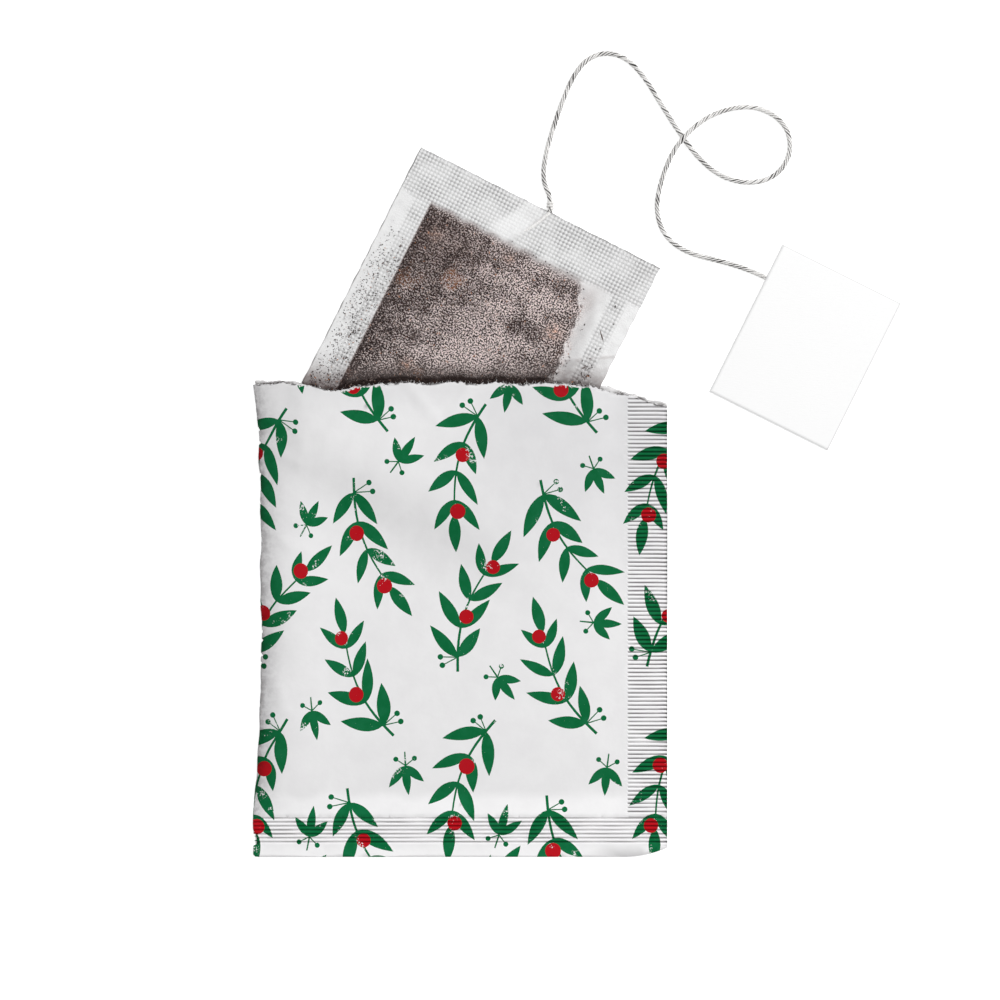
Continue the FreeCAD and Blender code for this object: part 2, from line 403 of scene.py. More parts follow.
def placeGroup(tree, group, vector, **values):
    node = tree.nodes.new("ShaderNodeGroup")
    node.node_tree = group
    tree.links.new(vector, node.inputs[0])
    for label, value in values.items():
        node.inputs[label].default_value = value
    return node.outputs


def makeCotton():
    material, tree, shader = newMaterial("twistedCotton", 0.9)
    place = millimetres(tree)
    fine = noiseAt(tree, place, 0.22, 3.0, 0.65)
    broad = noiseAt(tree, place, 3.0)
    colour = mixColour(tree, ramp(tree, fine, 0.30, 0.55), stringLook["shade"], stringLook["colour"])
    # painted shade in the grooves between the strands, darker in some stretches than in others
    shift = ramp(tree, broad, 0.35, 0.65, -0.05, 0.06)
    outer = mathNode(tree, "SUBTRACT", readAttribute(tree, "depth"), shift)
    colour = mixColour(tree, ramp(tree, outer, 0.70, 0.96), stringLook["grooveShade"], colour)
    tree.links.new(colour, shader.inputs["Base Color"])
    bumpInto(tree, shader, fine, 0.06)
    return material


def cottonTube(name, line, radius, sides):
    # one plain thread of the same cotton
    points, faces = tubeAround(line, radius, sides)
    piece = meshPiece(name, points, faces, cotton, None)
    addAttribute(piece, "depth", np.ones(len(points)))


def makeString():
    line, length = splinePoints("stringLine", stringRoute, stringLook["step"])
    points, faces, depths = twistedStrands(line, stringLook)
    piece = meshPiece("stringStrands", points, faces, cotton, "string")
    addAttribute(piece, "depth", depths)
    print("string", round(length, 1), "mm,", len(faces), "faces")
    # small turns where it leaves the bag
    turns = np.linspace(0, 2 * math.pi * stringLook["knotTurns"], 60)
    tangents, first, second = alongFrames(line)
    start = 3
    coil = line[start] + np.outer(turns / turns[-1] * stringLook["knotLength"], tangents[start])
    circle = np.outer(np.cos(turns), first[start]) + np.outer(np.sin(turns), second[start])
    coil = coil + stringLook["knotRadius"] * circle
    coil[:, 2] = np.maximum(coil[:, 2], stringLook["knotThread"] + 0.03)
    cottonTube("stringKnot", coil, stringLook["knotThread"], 8)


cotton = makeCotton()
makeString()

bagLook = {
    "tilt": 26.85, "paperGap": 0.2, "rest": 0.08, "dropReach": 10.0, "edge": 0.3,
    "leftSeam": 5.6, "rightSeam": 4.8, "topSeal": 7.5, "bottomSeal": 4.5,
    "seamHeight": 1.0, "seamSag": 0.5, "rise": 2.9, "step": 0.36,
    "leftSide": 7.0, "rightSide": 38.0, "gauze": 0.672,
    "film": (0.97, 0.97, 0.97, 1), "filmGrey": (0.41, 0.405, 0.41, 1), "blotch": (0.66, 0.655, 0.66, 1),
    "fibre": (0.50, 0.495, 0.49, 1), "veil": (0.56, 0.555, 0.56, 1), "cutEdge": (0.22, 0.215, 0.21, 1),
    "overTea": (0.86, 0.73, 0.705, 1), "overWarm": (0.85, 0.50, 0.36, 1), "dust": (0.18, 0.112, 0.102, 1),
    "shadow": (0.035, 0.024, 0.022, 1),
    # a dull patch on the tea's upper left, and a painted line of shade along a fold beside its right: places
    # across and along
    "dullPatch": (11, 45, 60 ** 0.5), "foldShadeLine": ((37.4, 34.9), (46.4, 40.6)),
}
teaLook = {
    "left": 5.7, "top": 7.6, "right": 37.0, "bottom": 5.0, "packed": 0.35,
    "grains": 16000, "grainSize": (0.16, 0.40), "stemWidth": 0.22, "stemThickness": 0.2,
    "dark": (0.007, 0.004, 0.004, 1), "mid": (0.042, 0.025, 0.022, 1), "pale": (0.44, 0.34, 0.31, 1),
    "warm": (0.36, 0.15, 0.07, 1),
    # places across and along where more or less paper veils the tea, how far round, how much
    "veils": [(26, 43, 6, 0.30), (33, 43, 4, 0.30), (26, 31.5, 8, 0.45), (29, 38.5, 2.4, -0.45),
              (14, 46.6, 6, 0.08), (20, 26, 7, 0.25)],
    "warmSpots": [(9.1, 45.4, 1.3), (35.1, 39.5, 1.5), (15.0, 22.9, 1.2), (22.5, 47.5, 0.8)],
    # stem bits: across, along, length, heading
    "stems": [(42.85, 42.8, 2.7, 2.32), (42.6, 36.6, 1.2, 0.9), (43.4, 35.0, 1.0, 2.2), (3.2, 37.0, 0.9, 1.2),
              (35.5, 46.0, 1.3, 0.4), (4.6, 41.0, 1.0, 1.7)],
}
bag = leaningFrame("tea_bag", bagLook["tilt"])
envelopeLow, envelopeHigh = boxOf("envelope")
mouthHeight = -envelopeLow[1]
print("bag %.1f by %.1f mm" % (bag["width"], bag["length"]))


def bagLevel(y):
    under = bagLook["paperGap"] + bagLook["rest"]
    return under - bagLook["paperGap"] * smooth((y - mouthHeight) / bagLook["dropReach"])


def fillShare(across, along):
    left = bagLook["leftSeam"]
    right = bag["width"] - bagLook["rightSeam"]
    high = bag["length"] - bagLook["topSeal"]
    s = (2 * across - left - right) / (right - left)
    t = (2 * along - bagLook["bottomSeal"] - high) / (high - bagLook["bottomSeal"])
    return (np.clip(1 - s ** 4, 0, 1) * np.clip(1 - t ** 4, 0, 1)) ** 1.5


def outsideFill(across, along):
    left = bagLook["leftSeam"] - across
    right = across - bag["width"] + bagLook["rightSeam"]
    high = along - bag["length"] + bagLook["topSeal"]
    out = np.maximum(np.maximum(left, right), np.maximum(bagLook["bottomSeal"] - along, high))
    return np.maximum(out, 0.0)


def teaRight(down):
    # the tea's right side steps out below its upper corner, then leans slowly outwards
    return teaLook["right"] + 1.9 * smooth((down - 8.5) / 6.5) + 0.10 * np.maximum(down - 15, 0)


def teaShare(across, along):
    # 1 where tea lies behind the paper, fading over its edges; the right side is ragged
    down = bag["length"] - along
    right = teaRight(down) + 0.5 * ripple(along, across, 5.0, 3)
    right = right + 0.45 * ripple(across, along, 1.1, 5)
    top = teaLook["top"] + 0.2 * ripple(across, along, 3.0, 4)
    share = smooth((across - teaLook["left"]) / 0.45) * smooth((right - across) / 2.2)
    share = share * smooth((down - top + 0.3) / (1.0 + 0.05 * across))
    return share * smooth((along - teaLook["bottom"]) / 0.8)


def mouthPaintedShadow(x, y):
    # painted shadow of the envelope's torn edge on the bag: 1 at the edge, falling off over the first
    # millimetres of bag above it
    above = np.maximum(y - tear(x), 0)
    uneven = 0.75 + 0.5 * ripple(x, y * 0, 2.2, 25)
    return np.clip(0.8 * uneven, 0, 0.9) * np.exp(-(above / 0.6) ** 2) + 0.26 * np.exp(-(above / 2.8) ** 2)


def lineDistance(x, y, a, b):
    ax, ay = a
    bx, by = b
    t = np.clip(((x - ax) * (bx - ax) + (y - ay) * (by - ay)) / ((bx - ax) ** 2 + (by - ay) ** 2), 0, 1)
    return np.hypot(x - ax - t * (bx - ax), y - ay - t * (by - ay)), t


tailStart = (25.1, bag["length"] - 0.1)       # the string's end inside the top seal
tailBend = (24.0, bag["length"] - 3.2)
tailEnd = (21.3, bag["length"] - 7.3)
bagCreases = [     # start, end, height, width
    ((39.5, 48.5), (37.5, 40.5), 0.10, 0.6), ((41.0, 47.0), (39.8, 42.5), 0.10, 0.5),
    ((1.0, 30.0), (5.0, 33.5), 0.12, 0.6), ((0.6, 42.0), (3.2, 43.0), 0.10, 0.5),
    ((36.6, 34.5), (46.4, 40.4), 0.32, 0.5), ((38.0, 44.0), (41.6, 36.0), 0.14, 1.2),
    ((6.0, 50.0), (9.5, 45.5), 0.16, 0.8), ((37.0, 49.8), (41.5, 43.5), 0.16, 1.0),
    ((10.0, 50.3), (13.0, 47.0), 0.12, 0.8), ((28.0, 50.2), (30.5, 46.0), 0.12, 0.9),
]


def bagHeights(across, along):
    x, y = leanOut(bag, across, along)
    level = bagLevel(y)
    fill = fillShare(across, along)
    seam = bagLook["seamHeight"] - bagLook["paperGap"] - bagLook["rest"]
    seam = seam - bagLook["seamSag"] * smooth(outsideFill(across, along) / bagLook["leftSeam"])
    tea = teaShare(across, along)
    lumps = 0.10 * ripple(across, along, 6.5, 11) + 0.05 * ripple(across, along, 2.4, 12)
    pebbles = 0.035 * ripple(across, along, 0.95, 13, 16)
    topZ = level + seam + bagLook["edge"] / 2 + (bagLook["rise"] - 0.25) * fill * (0.55 + 0.45 * tea)
    topZ = topZ + (lumps * 1.2 + pebbles * tea) * smooth(fill * 3)
    topZ = topZ + 0.06 * ripple(across, along, 9.0, 14)
    for a, b, height, width in bagCreases:
        distance, t = lineDistance(across, along, a, b)
        fading = np.sin(math.pi * np.clip(t, 0.05, 0.95)) ** 0.5
        topZ = topZ + height * np.exp(-(distance / width) ** 2) * fading
    for a, b in ((tailStart, tailBend), (tailBend, tailEnd)):
        distance, t = lineDistance(across, along, a, b)
        topZ = np.maximum(topZ, level + seam + 0.52 * np.exp(-(distance / 0.5) ** 2))
    rest = seam - bagLook["edge"] / 2
    bottomZ = level + rest * (1 - smooth(1.6 * fill))
    return np.maximum(topZ, bottomZ + 0.12), bottomZ


def evenSteps(start, end, step):
    return np.linspace(start, end, int((end - start) / step) + 1)


def embossShare(across, along):
    # 1 where the grid is pressed in: all the top seal but round the string, and a strip along each side seam
    down = bag["length"] - along
    fromRight = bag["width"] - across
    top = smooth((8.5 + 0.4 * ripple(across, along, 5.0, 21) - down) / 0.9)
    left = smooth((across - 2.7) / 0.5) * smooth((6.4 - across) / 0.4)
    left = left * (0.8 + 0.2 * ripple(across, along, 4.0, 22))
    right = smooth((fromRight - 2.3) / 0.4) * smooth((5.6 - fromRight) / 0.5) * 0.9
    low = (tailEnd[0] - 1.8, tailEnd[1] + 0.6)
    high = (tailBend[0] - 1.6, tailBend[1] + 1.4)
    patch, t = lineDistance(across, along, low, high)
    flat = 1 - 0.75 * smooth((3.0 - patch) / 1.6)
    return np.maximum(np.maximum(top * flat, left), right)


def seamColour(tree, place, fibre, holes, veil):
    # white threads between grey dots, soft blotches, and the cut edge as a thin broken line
    colour = mixColour(tree, holes, bagLook["film"], bagLook["filmGrey"])
    blotch = ramp(tree, noiseAt(tree, place, 2.2, 4.0, 0.6), 0.45, 0.75, 0.0, 0.30)
    colour = mixColour(tree, blotch, colour, bagLook["blotch"])
    colour = mixColour(tree, ramp(tree, fibre, 0.3, 0.9, 0.0, 0.22), colour, bagLook["fibre"])
    colour = mixColour(tree, veil, colour, bagLook["veil"])
    sides = splitVector(tree, place)
    fromTop = mathNode(tree, "SUBTRACT", bag["length"], sides[1])
    near = ramp(tree, mathNode(tree, "MINIMUM", fromTop, sides[0]), 0.02, 0.30, 1.0, 0.0)
    broken = ramp(tree, noiseAt(tree, place, 3.5, 3.0, 0.6), 0.42, 0.58, 0.05, 0.85)
    return mixColour(tree, times(tree, near, broken), colour, bagLook["cutEdge"])


def teaCover(tree, place, grain, veil):
    # how much the paper hides of the tea: short pale flecks where it clings less
    strokes = placeGroup(tree, paperFibre, place, Size=0.14)["Fibres"]
    lift = ramp(tree, veil, 0.0, 1.0, -0.045, 0.045)
    flecks = ramp(tree, mathNode(tree, "ADD", grain, lift), 0.49, 0.60)
    lines = ramp(tree, mathNode(tree, "ADD", strokes, lift), 0.50, 0.80, 0.0, 0.9)
    flecks = times(tree, mathNode(tree, "MAXIMUM", flecks, lines), ramp(tree, veil, 0.0, 1.0, 0.46, 0.86))
    return mathNode(tree, "ADD", flecks, 0.01)


def makeFilm():
    # thin wet-strength paper, clear where it touches the tea and whiter over the seams
    material, tree, shader = newMaterial("filterPaper", 0.8, 0.12)
    place = readAttribute(tree, "bagPlace", "Vector")
    emboss, tea, paintedShadow = splitVector(tree, readAttribute(tree, "bagMasks", "Vector"))
    veil, warm, brown = splitVector(tree, readAttribute(tree, "bagTints", "Vector"))
    fibre = placeGroup(tree, paperFibre, place, Size=0.34)["Fibres"]
    gauze = placeGroup(tree, gauzeEmboss, place, Pitch=bagLook["gauze"], Wander=0.10)
    grain = noiseAt(tree, place, 0.27, 1.0, 0.6)
    fade = ramp(tree, noiseAt(tree, place, 4.5, 3.0), 0.35, 0.65, 0.35, 1.0)
    colour = seamColour(tree, place, fibre, times(tree, gauze["Holes"], emboss, fade), veil)
    colour = mixColour(tree, tea, colour, mixColour(tree, warm, bagLook["overTea"], bagLook["overWarm"]))
    # brown dust gathers towards the mouth, and painted shadow lies along the envelope's torn edge
    colour = mixColour(tree, brown, colour, bagLook["dust"])
    sunk = mathNode(tree, "MAXIMUM", paintedShadow, times(tree, ramp(tree, paintedShadow, 0.0, 0.30), tea))
    colour = mixColour(tree, sunk, colour, bagLook["shadow"])
    tree.links.new(colour, shader.inputs["Base Color"])
    apart = mathNode(tree, "ADD", times(tree, fibre, 0.12), 0.76)
    alpha = mixNumber(tree, tea, apart, teaCover(tree, place, grain, veil))
    # the painted shadow also hides the tea
    alpha = mathNode(tree, "MAXIMUM", alpha, times(tree, paintedShadow, 0.9))
    alpha = mathNode(tree, "MAXIMUM", alpha, times(tree, warm, 0.42))
    tree.links.new(alpha, shader.inputs["Alpha"])
    relief = times(tree, mathNode(tree, "SUBTRACT", gauze["Height"], 0.75), emboss)
    bumpInto(tree, shader, mathNode(tree, "ADD", relief, times(tree, grain, 0.5)), 0.13)
    return material


def makeTea():
    material, tree, shader = newMaterial("tea", 0.9, 0.1)
    place = millimetres(tree)
    grain = noiseAt(tree, place, 0.35, 3.0, 0.7)
    colour = mixColour(tree, ramp(tree, grain, 0.35, 0.62), teaLook["dark"], teaLook["mid"])
    pale = ramp(tree, noiseAt(tree, place, 0.6, 2.0, 0.6), 0.60, 0.72)
    colour = mixColour(tree, pale, colour, teaLook["pale"])
    warm = ramp(tree, noiseAt(tree, place, 6.0), 0.62, 0.74, 0.0, 0.5)
    colour = mixColour(tree, warm, colour, teaLook["warm"])
    tree.links.new(colour, shader.inputs["Base Color"])
    bumpInto(tree, shader, grain, 0.15)
    return material


def makeGrainMaterial():
    # mostly dark leaf, some pale stem and a little warm bark
    material, tree, shader = newMaterial("teaLeaf", 0.8, 0.15)
    shade = readAttribute(tree, "shade")
    colour = mixColour(tree, ramp(tree, shade, 0.15, 0.75), teaLook["dark"], teaLook["mid"])
    colour = mixColour(tree, ramp(tree, shade, 0.86, 0.93), colour, teaLook["pale"])
    colour = mixColour(tree, ramp(tree, shade, 0.965, 0.985), colour, teaLook["warm"])
    tree.links.new(colour, shader.inputs["Base Color"])
    tree.links.new(ramp(tree, shade, 0.0, 1.0, 0.7, 0.9), shader.inputs["Roughness"])
    return material


def scatterGrains(rng, count):
    # places across and along, dense over the tea and sparse over the seams and the empty side
    across = rng.uniform(0.6, bag["width"] - 0.6, count * 3)
    along = rng.uniform(4.0, bag["length"] - 1.0, count * 3)
    down = bag["length"] - along
    tea = teaShare(across, along)
    clump = smooth(0.5 + ripple(across, along, 3.0, 31))
    dust = smooth((down - 11) / 18) * smooth((across - 0.3) / 1.2) * (across < bagLook["leftSide"])
    dust = dust * (0.6 + 0.6 * clump)
    line = 0.42 * np.exp(-((across - 4.5) / 0.6) ** 2) * smooth((down - 10) / 5) * clump
    strip = np.exp(-((across - bag["width"] + 3.5) / 0.75) ** 2)
    strip = strip * (0.02 + 0.75 * smooth((down - 18) / 5) * clump)
    stray = 0.030 * np.exp(-((across - 37.5) / 2.5) ** 2) * smooth((down - 8) / 3)
    x, y = leanOut(bag, across, along)
    low = 0.75 * np.exp(-np.maximum(y - tear(x) - 0.6, 0) / 1.5) * smooth((across - 37) / 3) * clump
    chance = tea + (1 - tea) * (dust + line + strip + stray + low)
    keep = rng.uniform(0, 1, len(across)) < chance
    return across[keep][:count], along[keep][:count], tea[keep][:count]


def turned(first, second, angle):
    # each grain's two coordinates, turned by the grain's own angle
    c = np.cos(angle)[:, None]
    s = np.sin(angle)[:, None]
    return first * c - second * s, first * s + second * c


def makeGrains(material):
    rng = np.random.default_rng(7)
    across, along, tea = scatterGrains(rng, teaLook["grains"])
    stemAcross, stemAlong, stemLength, stemHeading = np.array(teaLook["stems"]).T
    extra = len(stemAcross)
    across = np.concatenate([across, stemAcross])
    along = np.concatenate([along, stemAlong])
    tea = np.concatenate([tea, np.zeros(extra)])
    packed = tea > teaLook["packed"]
    count = len(across)
    topZ, bottomZ = bagHeights(across, along)
    leftSide = across < bagLook["leftSide"]
    small = np.where(leftSide, rng.uniform(0.38, 0.78, count), rng.uniform(0.5, 1.05, count))
    size = rng.uniform(*teaLook["grainSize"], count) * np.where(packed, 1.0, small)
    x, y = leanOut(bag, across, along)
    # under the paper over the tea; caught at the surface in the seams
    z = np.where(packed, topZ - 0.09 - rng.uniform(0, 0.10, count), topZ + 0.03)
    # every grain has six corners and eight sides
    corners = np.array([(1, 0, 0), (-1, 0, 0), (0, 1, 0), (0, -1, 0), (0, 0, 1), (0, 0, -1)], dtype=float)
    triangles = np.array([(0, 2, 4), (2, 1, 4), (1, 3, 4), (3, 0, 4),
                          (2, 0, 5), (1, 2, 5), (3, 1, 5), (0, 3, 5)])
    stretch = [rng.uniform(low, high, count) for low, high in ((0.9, 2.0), (0.5, 1.0), (0.3, 0.6))]
    reach = np.stack(stretch, 1) * size[:, None] / 2
    reach[-extra:, 0] = stemLength / 2
    reach[-extra:, 1] = teaLook["stemWidth"] / 2
    reach[-extra:, 2] = teaLook["stemThickness"] / 2
    local = corners[None] * reach[:, None, :] * rng.uniform(0.7, 1.3, (count, 6, 1))
    turn = rng.uniform(0, 2 * math.pi, count)
    turn[-extra:] = stemHeading - math.radians(bagLook["tilt"])
    localX, localZ = turned(local[:, :, 0], local[:, :, 2], rng.uniform(-0.5, 0.5, count) * packed)
    localX, localY = turned(localX, local[:, :, 1], turn)
    points = np.stack([localX + x[:, None], localY + y[:, None], localZ + z[:, None]], axis=-1).reshape(-1, 3)
    faces = (triangles[None] + (np.arange(count) * 6)[:, None, None]).reshape(-1, 3)
    piece = meshPiece("teaGrains", points, faces, material, None, False)
    shade = rng.uniform(0, 1, count)
    shade = np.where(packed, shade, 0.35 + 0.5 * shade ** 0.7 + 0.15 * (shade > 0.93))
    shade[-extra:] = 0.88
    addAttribute(piece, "shade", np.repeat(shade, 6))
    print("tea grains", count)


def makeTeaFill(material):
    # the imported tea, just under the paper, with its own ragged outline
    step = bagLook["step"]
    low = teaLook["bottom"]
    high = bag["length"] - teaLook["top"]
    left = teaLook["left"]
    row = evenSteps(low, high, step)[None, :]
    share = np.linspace(0, 1, int((teaLook["right"] - left) / step))[:, None]
    right = teaRight(bag["length"] - row) - 0.9 + 0.4 * ripple(row, row * 0, 2.5, 3)
    across = left + 0.2 + (right - left - 0.6) * share
    along = np.broadcast_to(row, across.shape)
    topZ, bottomZ = bagHeights(across, along)
    fromSides = np.minimum(across - left, right - across) / 1.2
    fromEnds = np.minimum(high - along, along - low)
    edge = smooth(np.minimum(fromSides + 0.05, fromEnds + 0.05))
    relief = 0.05 * ripple(across, along, 0.8, 33, 16)
    middle = (topZ + bottomZ) / 2
    upper = middle + (topZ - 0.2 - middle + relief) * edge
    lower = middle + (bottomZ + 0.08 - middle) * edge
    x, y = leanOut(bag, across, along)
    points, faces = closedSheets(np.stack([x, y, upper + 0.02], -1), np.stack([x, y, lower - 0.02], -1))
    meshPiece("teaFill", points, faces, material, None)


def spotAt(across, along, placeAcross, placeAlong, reach):
    # 1 at a place on the bag, fading evenly round it
    return np.exp(-((across - placeAcross) ** 2 + (along - placeAlong) ** 2) / reach ** 2)


def filmVeil(across, along):
    # how much paper veils the tea; less along the tea's left side, for a painted band of shade there
    veil = 0.40 + 0.16 * ripple(across, along, 5.0, 43) + 0.10 * ripple(across, along, 2.0, 44)
    for placeAcross, placeAlong, reach, amount in teaLook["veils"]:
        veil = veil + amount * spotAt(across, along, placeAcross, placeAlong, reach)
    return veil - 0.45 * np.exp(-((across - teaLook["left"] - 0.8) / 0.9) ** 2)


def filmWarmth(across, along):
    warm = sum(0.8 * spotAt(across, along, *spot) for spot in teaLook["warmSpots"])
    return np.clip(warm * (0.6 + 0.6 * ripple(across, along, 0.9, 45)), 0, 1)


def filmDust(across, along, warm):
    # brown dust on both sides, most of it by the mouth, a dull patch, and a painted line of shade along a
    # fold
    down = bag["length"] - along
    x, y = leanOut(bag, across, along)
    fromMouth = np.maximum(y - tear(x), 0)
    side = (across < bagLook["leftSide"]) * smooth((down - 14) / 10)
    side = side + smooth((across - bagLook["rightSide"]) / 3) * 0.7
    speckled = 0.06 * smooth(0.5 + 0.7 * ripple(across, along, 1.6, 46))
    uneven = 0.85 + 0.20 * ripple(across, along, 0.9, 49)
    brown = side * (speckled + 0.90 * uneven * np.exp(-(fromMouth / 3.3) ** 2))
    dull = 0.52 * spotAt(across, along, *bagLook["dullPatch"])
    dull = dull * smooth((across - 6.2) / 1.0) * smooth((down - 8.5) / 1.5) * (1 - warm)
    beside = 0.22 * np.exp(-((across - 38.2) / 1.8) ** 2 - ((down - 9.0) / 2.6) ** 2) * smooth(down - 7.0)
    # a thin dark line of painted shade along the fold
    fold, t = lineDistance(across, along, *bagLook["foldShadeLine"])
    beside = beside + 0.34 * np.exp(-(fold / 0.26) ** 2) * smooth(0.7 + 0.5 * ripple(across, along, 1.5, 50))
    return np.clip(brown + dull + beside, 0, 1)


def makeBagFilm():
    width = bag["width"]
    length = bag["length"]
    step = bagLook["step"]
    across, along = np.meshgrid(evenSteps(0.0, width, step), evenSteps(0.0, length, step), indexing="ij")
    # a slightly uneven cut edge
    shiftAcross = 0.06 * ripple(along, across, 2.2, 41) * (np.abs(across - width / 2) > width / 2 - 0.2)
    shiftAlong = 0.05 * ripple(across, along, 2.0, 42) * (np.abs(along - length / 2) > length / 2 - 0.2)
    topZ, bottomZ = bagHeights(across, along)
    x, y = leanOut(bag, across + shiftAcross, along + shiftAlong)
    points, faces = closedSheets(np.stack([x, y, topZ], -1), np.stack([x, y, bottomZ], -1))
    film = meshPiece("bagFilm", points, faces, makeFilm(), "tea_bag")
    # where tea shows through, with a little dust in the empty part of the filling
    tea = teaShare(across, along)
    chamber = smooth(fillShare(across, along) * 6)
    dusty = 0.03 + 0.04 * ripple(across, along, 3.0, 47) + 0.22 * np.exp(-((across - 37.8) / 1.3) ** 2)
    streaks = 0.62 + 0.22 * ripple(across * 1.6 - along * 0.5, along * 0.4, 2.2, 48)
    veil = np.where(tea > 0.2, filmVeil(across, along), streaks * chamber)
    tea = tea + (1 - tea) * np.clip(dusty, 0, 1) * chamber
    warm = filmWarmth(across, along)
    # painted shadow along the envelope's torn edge
    paintedShadow = mouthPaintedShadow(*leanOut(bag, across, along))
    addAttribute(film, "bagPlace", across, along, across * 0)
    addAttribute(film, "bagMasks", embossShare(across, along), tea, paintedShadow)
    addAttribute(film, "bagTints", np.clip(veil, 0, 1), warm, filmDust(across, along, warm))
    print("bag film", len(faces), "faces")


def makeStringTail():
    # the string's end, held between the papers of the top seal
    seam = bagLook["seamHeight"] - bagLook["paperGap"] - bagLook["rest"] - bagLook["seamSag"] * 0.6
    route = []
    for across, along in (tailStart, tailBend, tailEnd):
        x, y = leanOut(bag, across, along)
        route.append((x, y, bagLevel(y) + seam + 0.27))
    line, length = splinePoints("tailLine", route, 0.3)
    cottonTube("stringTail", line, 0.3, 8)


wrap = {
    "paper": 0.2, "sheet": 0.12, "edgeGap": 0.3, "restGap": 0.35, "sideSeal": 7.0, "bottomSeal": 7.0,
    "sealMargin": 2.1, "sidePitch": 0.71, "bottomPitch": 0.69, "bottomRibs": 7, "ribDepth": 0.30,
    # one rib: places along its pitch, and how high it stands there
    "ribPlaces": (0.0, 0.24, 0.48, 0.66, 0.84, 1.0), "ribLevels": (0.0, 0.20, 0.0, -0.9, -0.7, 0.0),
    "cornerRise": 1.6, "cornerReach": 7.5, "tearDip": 1.3, "tearDipPlace": 0.2, "tearDipReach": 4.5,
    "tearFall": 4.2, "tearFallReach": 18.0, "backTearRise": 0.6, "bulgeClearance": 0.1,
    "bulgeNarrower": 1.3, "bulgeStart": -0.5, "bulgeSoft": 2.5, "foldFade": 8.0, "sealFade": 7.0,
    "bottomFade": 14.0, "sidePull": 1.4, "foldSwell": 0.90, "foldStart": 48, "grid": 0.75, "fibres": 420,
    "colour": (0.845, 0.84, 0.845, 1), "cloudy": (0.79, 0.782, 0.79, 1),
    "green": (0.001, 0.130, 0.038, 1), "greenPale": (0.010, 0.165, 0.066, 1),
    "red": (0.47, 0.003, 0.009, 1), "redPale": (0.40, 0.010, 0.018, 1),
    "inside": (0.82, 0.81, 0.81, 1), "insideFibre": (0.62, 0.61, 0.61, 1),
    # the multipliers: whiter seals, partly painted sheen; painted shade in the ribs' valleys, at the fold,
    # along the torn rim and over the upper right
    "pressed": (1.14, 1.14, 1.14, 1), "valleyShade": (0.29, 0.28, 0.285, 1),
    "foldShade": (0.45, 0.44, 0.445, 1), "rim": (0.06, 0.055, 0.055, 1), "dull": (0.86, 0.86, 0.865, 1),
}
halfWidth = envelopeHigh[0]
foldRadius = wrap["paper"] + wrap["edgeGap"] / 2
sealTop = 2 * wrap["paper"] + wrap["edgeGap"]
chamberLeft = foldRadius - halfWidth
chamberRight = halfWidth - wrap["sideSeal"]
chamberBottom = wrap["bottomSeal"] - mouthHeight
wrapCreases = [     # start, end, height, width
    ((-9.0, 41.0), (-2.5, 33.0), 0.22, 1.0), ((1.8, 41.0), (-1.6, 35.5), 0.24, 0.7),
    ((16.4, 38.6), (13.2, 34.6), 0.22, 0.8), ((-35.5, 31.2), (-30.5, 33.6), -0.30, 0.5),
    ((-35.5, 30.6), (-29.0, 27.5), 0.28, 0.8), ((-35.5, 16.6), (-31.5, 17.6), -0.25, 0.45),
    ((-35.5, 15.8), (-30.0, 12.5), 0.22, 0.8), ((22.0, 40.0), (26.0, 30.0), 0.10, 1.2),
    ((-28.0, 40.0), (-24.0, 30.0), 0.09, 1.4), ((10.0, 8.0), (20.0, 2.0), 0.14, 2.0),
    ((-20.0, 4.0), (-12.0, -4.0), 0.10, 2.2), ((27.0, 12.0), (28.5, -20.0), 0.12, 0.8),
    ((-34.0, -10.0), (-31.0, -16.0), 0.20, 1.0), ((14.0, -33.6), (27.0, -32.0), 0.10, 0.9),
]


def tearLine(x):
    place = wrap["tearDipPlace"] * 2 * halfWidth - halfWidth
    dip = wrap["tearDip"] * np.exp(-((x - place) / wrap["tearDipReach"]) ** 2)
    share = np.maximum(0.0, (x - halfWidth + wrap["tearFallReach"]) / wrap["tearFallReach"])
    return mouthHeight - dip - wrap["tearFall"] * share ** 1.5


def tear(x):
    # the torn edge: uneven on every scale, with a few longer flat stretches
    broad = 0.20 * ripple(x, x * 0, 6.0, 71)
    rough = 0.3 + smooth(0.5 + ripple(x, x * 0, 7.0, 72))
    fine = 0.09 * ripple(x, x * 0, 1.7, 73) + 0.10 * ripple(x, x * 0, 0.7, 74)
    return tearLine(x) + broad + fine * rough


def backTear(x):
    uneven = 0.24 * ripple(x, x * 0, 6.0, 76) + 0.12 * ripple(x, x * 0, 1.6, 77)
    return tearLine(x) + wrap["backTearRise"] + uneven


def wallGap(x, y):
    across, along = leanIn(bag, x, y)
    over = 1 / (1 + ((across - bag["width"] / 2) / (bag["width"] / 2 - wrap["bulgeNarrower"])) ** 6)
    begun = 1 / (1 + np.exp(np.clip((wrap["bulgeStart"] - along) / wrap["bulgeSoft"], -30, 30)))
    fade = smooth((x - chamberLeft) / wrap["foldFade"]) * smooth((chamberRight - x) / wrap["sealFade"])
    fade = fade * smooth((y - chamberBottom) / wrap["bottomFade"])
    full = bagLook["seamHeight"] + bagLook["edge"] / 2 + bagLook["rise"] - wrap["paper"] - wrap["edgeGap"]
    full = full + wrap["bulgeClearance"]
    return wrap["edgeGap"] + fade * (wrap["restGap"] + full * over * begun)


